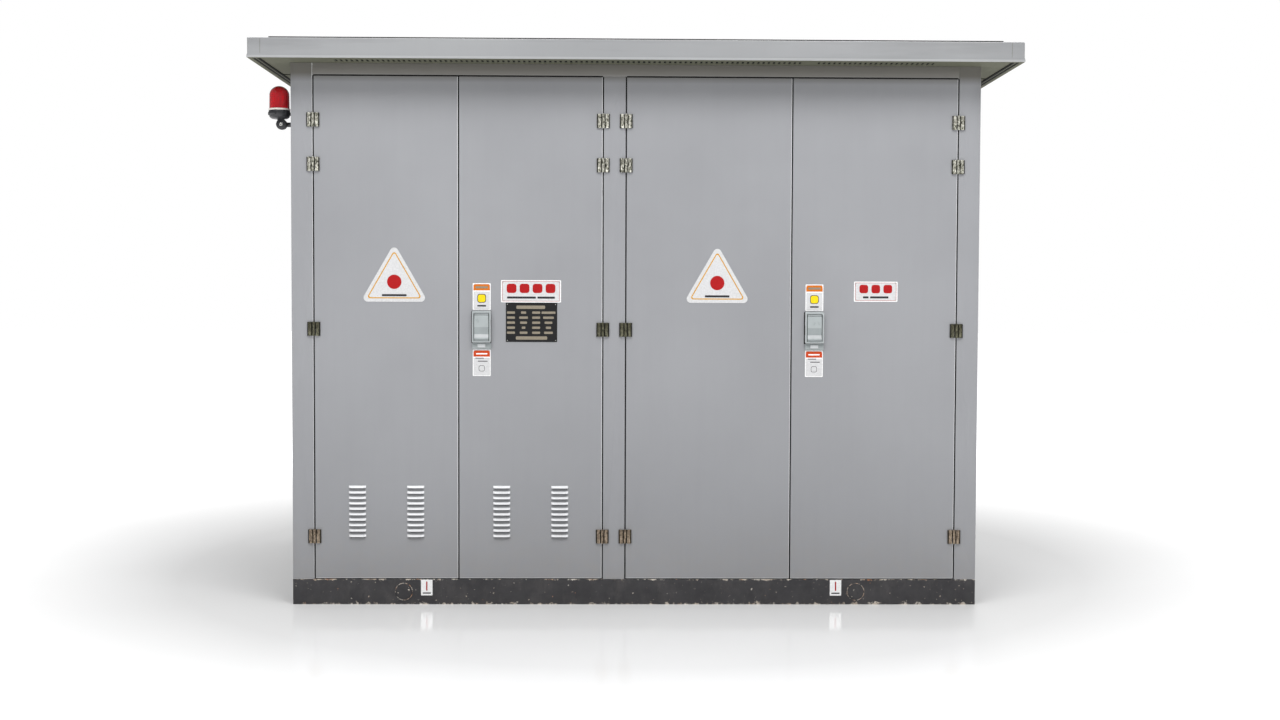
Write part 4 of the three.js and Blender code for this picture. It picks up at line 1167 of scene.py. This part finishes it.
def build_lamp(x, y, bottom):
    """Lamp holder, glass bulb and the dished mirror that turns round it."""
    bm = bmesh.new()
    z = bottom + 22 * MM
    bulb = in_mm((0, 0), (9, 0), (9, 8), (6, 10), (7.5, 18), (7.5, 26), (4.5, 31), (0, 32.5), base=z)
    add_turned(bm, bulb, (x, y, 0), "z", 24)
    make_piece(bm, "beacon_bulb", ["plate_rim"], "beacon_head", "lock_plastic")

    bm = bmesh.new()
    ring_low = bottom + 2 * MM
    ring = in_mm((17, 0), (30, 0), (30, 3), (17, 3), (17, 0), base=ring_low)
    add_turned(bm, ring, (x, y, 0), "z", 40)
    rows, columns, wall = 12, 20, 1.0 * MM
    shells = []
    for inset in (0.0, wall):
        sheet = []
        for v in range(rows + 1):
            t = -1 + 2 * v / rows
            line = []
            for u in range(columns + 1):
                angle = math.radians(15 + 150 * u / columns)
                r = (28.5 * MM - inset) * (1 - 0.24 * t * t)
                line.append(bm.verts.new((x + r * math.cos(angle), y + r * math.sin(angle),
                                          ring_low + 33 * MM + t * 28 * MM)))
            sheet.append(line)
        shells.append(sheet)
    for sheet in shells:
        for v in range(rows):
            for u in range(columns):
                bm.faces.new([sheet[v][u], sheet[v][u + 1], sheet[v + 1][u + 1], sheet[v + 1][u]])
    outer, inner = shells
    for v in range(rows):
        for u in (0, columns):
            bm.faces.new([outer[v][u], outer[v + 1][u], inner[v + 1][u], inner[v][u]])
    for u in range(columns):
        for v in (0, rows):
            bm.faces.new([outer[v][u], outer[v][u + 1], inner[v][u + 1], inner[v][u]])
    add_box(bm, (x - 5 * MM, y + 19 * MM, ring_low + 1 * MM), (x + 5 * MM, y + 24 * MM, ring_low + 12 * MM))
    make_piece(bm, "beacon_mirror", ["mirror_silver"], "reflector", "mirror_silver", ["beacon_reflector"],
               smooth_angle=45)


def build_bracket(knuckle, y):
    low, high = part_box("beacon_bracket")
    bm = bmesh.new()
    plate_x = high.x - 5 * MM
    add_box(bm, (plate_x, low.y, low.z), (high.x, high.y, high.z))
    arm_end = knuckle.x + 4 * MM
    add_turned(bm, [(0, arm_end), (9 * MM, arm_end), (9 * MM, plate_x - 5 * MM), (15 * MM, plate_x),
                    (0, plate_x)], (0, y + 9.6 * MM, knuckle.z), "x", 28)
    disc = in_mm((0, -0.3), (20.4, -0.3), (20.4, -9.5), (19.4, -11), (16, -13.5), (0, -13.5))
    add_turned(bm, disc, (knuckle.x, y, knuckle.z), "y", 40)
    make_piece(bm, "beacon_bracket_casting", ["dark_plastic"], "kiosk", "dark_plastic", ["beacon_bracket"],
               bevel=1.2 * MM, segments=3)
    bm = bmesh.new()
    for dy in (-17 * MM, 17 * MM):
        for z in (low.z + 9 * MM, high.z - 9 * MM):
            add_screw(bm, (plate_x, y + dy, z), 4.2 * MM, "x")
    make_piece(bm, "beacon_bracket_screws", ["bolt_steel"], "kiosk", "mirror_silver")


# ---------------------------------------------------------------- base frame details
PIN_COLLAR = 9 * MM        # the inner collar's reach beyond the shaft


def build_lifting_pins():
    for end, side in (("front", -1), ("rear", 1)):
        for hand in ("left", "right"):
            node = f"lifting_pin_{end}_{hand}"
            low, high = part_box(node)
            x, z = (low.x + high.x) / 2, (low.z + high.z) / 2
            tip = low.y if side < 0 else high.y
            length = high.y - low.y
            sign = 1 if side < 0 else -1
            bm = bmesh.new()
            r = (high.x - low.x) / 2 - PIN_COLLAR
            wide = r + PIN_COLLAR
            add_turned(bm, [(0, 0), (r - 0.8 * MM, 0), (r, -sign * 0.8 * MM), (r, -sign * (length - 10 * MM)),
                            (wide, -sign * (length - 10 * MM)), (wide, -sign * length), (0, -sign * length)],
                       (x, tip, z), "y", 56)
            make_piece(bm, f"{node}_shaft", ["black_paint"], BODY_OF[node], "black_paint", [node])
            bm = bmesh.new()
            face = FRONT if side < 0 else REAR
            bead = [(r + 1.3 * MM, 0), (r + 1.5 * MM, 0.9 * MM), (r + 2.3 * MM, 1.3 * MM),
                    (r + 3.2 * MM, 0.8 * MM), (r + 3.6 * MM, 0)]
            add_turned(bm, [(u, sign * v) for u, v in bead] + [bead[0]], (x, face, z), "y", 56)
            make_piece(bm, f"pin_mouth_{end}_{hand}", ["worn_black"], "kiosk", "black_paint")


# ---------------------------------------------------------------- fasteners of the outer sheets
def build_wall_rivets():
    """Dome rivets down the upright edges of the side walls, and along their tops and bottoms."""
    for name, side in (("left", -1), ("right", 1)):
        low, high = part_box(f"{name}_wall")
        face = high.x if side > 0 else low.x
        bm = bmesh.new()
        places = []
        for y in (low.y + 18 * MM, high.y - 18 * MM):
            places += [(y, low.z + 60 * MM + i * (high.z - low.z - 120 * MM) / 10) for i in range(11)]
        for z in (low.z + 18 * MM, high.z - 18 * MM):
            places += [(low.y + 100 * MM + i * (high.y - low.y - 200 * MM) / 9, z) for i in range(10)]
        for y, z in places:
            rivet = in_mm((0, 0), (5, 0), (4.4, side * 1.4), (2.4, side * 2.2), (0, side * 2.4))
            add_turned(bm, rivet, (face - side * 0.1 * MM, y, z), "x", 14)
        make_piece(bm, f"{name}_wall_rivets", ["grey_paint"], "kiosk", "grey_paint")


def build_rear_screws():
    """Screws round the two fixed rear panels."""
    bm = bmesh.new()
    for node in ("transformer_rear_panel", "switchgear_rear_panel"):
        low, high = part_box(node)
        inset = 20 * MM
        for x in (low.x + inset, high.x - inset):
            for i in range(7):
                z = low.z + 40 * MM + i * (high.z - low.z - 80 * MM) / 6
                add_screw(bm, (x, high.y - 0.1 * MM, z), 6 * MM)
        for z in (low.z + inset, high.z - inset):
            for i in range(1, 5):
                x = low.x + i * (high.x - low.x) / 5
                add_screw(bm, (x, high.y - 0.1 * MM, z), 6 * MM)
    make_piece(bm, "rear_panel_screws", ["bolt_steel"], "kiosk", "mirror_silver")


# ---------------------------------------------------------------- plain CAD shapes with rounded edges
def build_plain_shapes():
    for node in ("base_front_channel", "base_rear_channel", "base_left_channel", "base_right_channel",
                 "front_cross_beam", "rear_cross_beam"):
        refined(node, 1.6 * MM, 3)
    for end, facing in (("front", -1), ("rear", 1)):
        for hand in ("left", "centre", "right"):
            post = refined(f"{end}_{hand}_post", 2.2 * MM, 3)
            # painted highlight on the posts' right and lower edges
            post.data.materials.append(MAT["edge_paint"])
            paint_edge_highlights(post, 1, facing)
        refined(f"{end}_header")
    for node in ("left_wall", "right_wall", "partition_wall", "front_floor_plate", "rear_floor_plate"):
        refined(node)
    refined("switchboard_panel", 1.2 * MM, material="board_paint")
    for node in ("transformer_tank", "transformer_cover", "main_breaker", "main_breaker_handle",
                 "feeder_breakers", "tap_changer_handle", "hv_bushings", "lv_bushings"):
        refined(node, 1.5 * MM)


# ---------------------------------------------------------------- stage, camera and light
AMBIENT = 0.22


def build_stage():
    bm = bmesh.new()
    size = 60.0
    bm.faces.new([bm.verts.new(p) for p in ((-size, -size, 0), (size, -size, 0), (size, size, 0),
                                            (-size, size, 0))])
    mesh = bpy.data.meshes.new("floor")
    bm.to_mesh(mesh)
    bm.free()
    mesh.materials.append(studio_floor())
    floor = bpy.data.objects.new("floor", mesh)
    bpy.context.scene.collection.objects.link(floor)


def build_camera():
    yaw, pitch, roll = math.radians(0.882), math.radians(-2.103), math.radians(0.208)
    ahead = Vector((math.sin(yaw) * math.cos(pitch), math.cos(yaw) * math.cos(pitch), math.sin(pitch)))
    level = Vector((math.cos(yaw), -math.sin(yaw), 0))
    upright = level.cross(ahead)
    right = level * math.cos(roll) + upright * math.sin(roll)
    up = upright * math.cos(roll) - level * math.sin(roll)
    data = bpy.data.cameras.new("camera")
    data.sensor_width = 36
    data.lens = 40.5
    camera = bpy.data.objects.new("camera", data)
    matrix = Matrix((right, up, -ahead)).transposed().to_4x4()
    matrix.translation = (-0.071, FRONT - 5.623, 1.168)
    camera.matrix_world = matrix
    bpy.context.scene.collection.objects.link(camera)
    bpy.context.scene.camera = camera


def area_light(name, place, target, size, power):
    data = bpy.data.lights.new(name, "AREA")
    data.shape = "RECTANGLE"
    data.size, data.size_y = size
    data.energy = power
    light = bpy.data.objects.new(name, data)
    light.location = place
    light.rotation_euler = (Vector(target) - Vector(place)).to_track_quat("-Z", "Y").to_euler()
    bpy.context.scene.collection.objects.link(light)


def build_light():
    """White studio: bright to look at, dim as a light, with large softboxes above each side."""
    scene = bpy.context.scene
    scene.view_settings.view_transform = "Standard"
    world = bpy.data.worlds.new("studio")
    scene.world = world
    world.use_nodes = True
    nodes, links = world.node_tree.nodes, world.node_tree.links
    background = nodes["Background"]
    background.inputs["Color"].default_value = (1.0, 1.0, 1.0, 1)
    path = nodes.new("ShaderNodeLightPath")
    strength = nodes.new("ShaderNodeMapRange")
    strength.inputs["To Min"].default_value = AMBIENT
    strength.inputs["To Max"].default_value = 1.0
    links.new(path.outputs["Is Camera Ray"], strength.inputs["Value"])
    links.new(strength.outputs["Result"], background.inputs["Strength"])
    area_light("front_left_softbox", (-3.2, -6.0, 8.0), (-0.4, -1, 1.0), (4.5, 3.5), 345)
    area_light("front_right_softbox", (3.2, -6.0, 8.0), (0.4, -1, 1.0), (4.5, 3.5), 360)
    area_light("top_softbox", (0, 0.5, 9.5), (0, 0, 0), (9, 9), 620)
    area_light("rear_softbox", (1.5, 7.5, 7.0), (0, 1, 1.0), (7, 4), 520)


# ---------------------------------------------------------------- assembly
build_camera()
build_doors()
build_gap_seals()
build_hinges()
for lock_number in (2, 4):
    build_lock(lock_number)
build_plates()
build_roof()
build_eaves()
build_beacon()
build_lifting_pins()
build_wall_rivets()
build_rear_screws()
build_plain_shapes()
build_stage()
build_light()
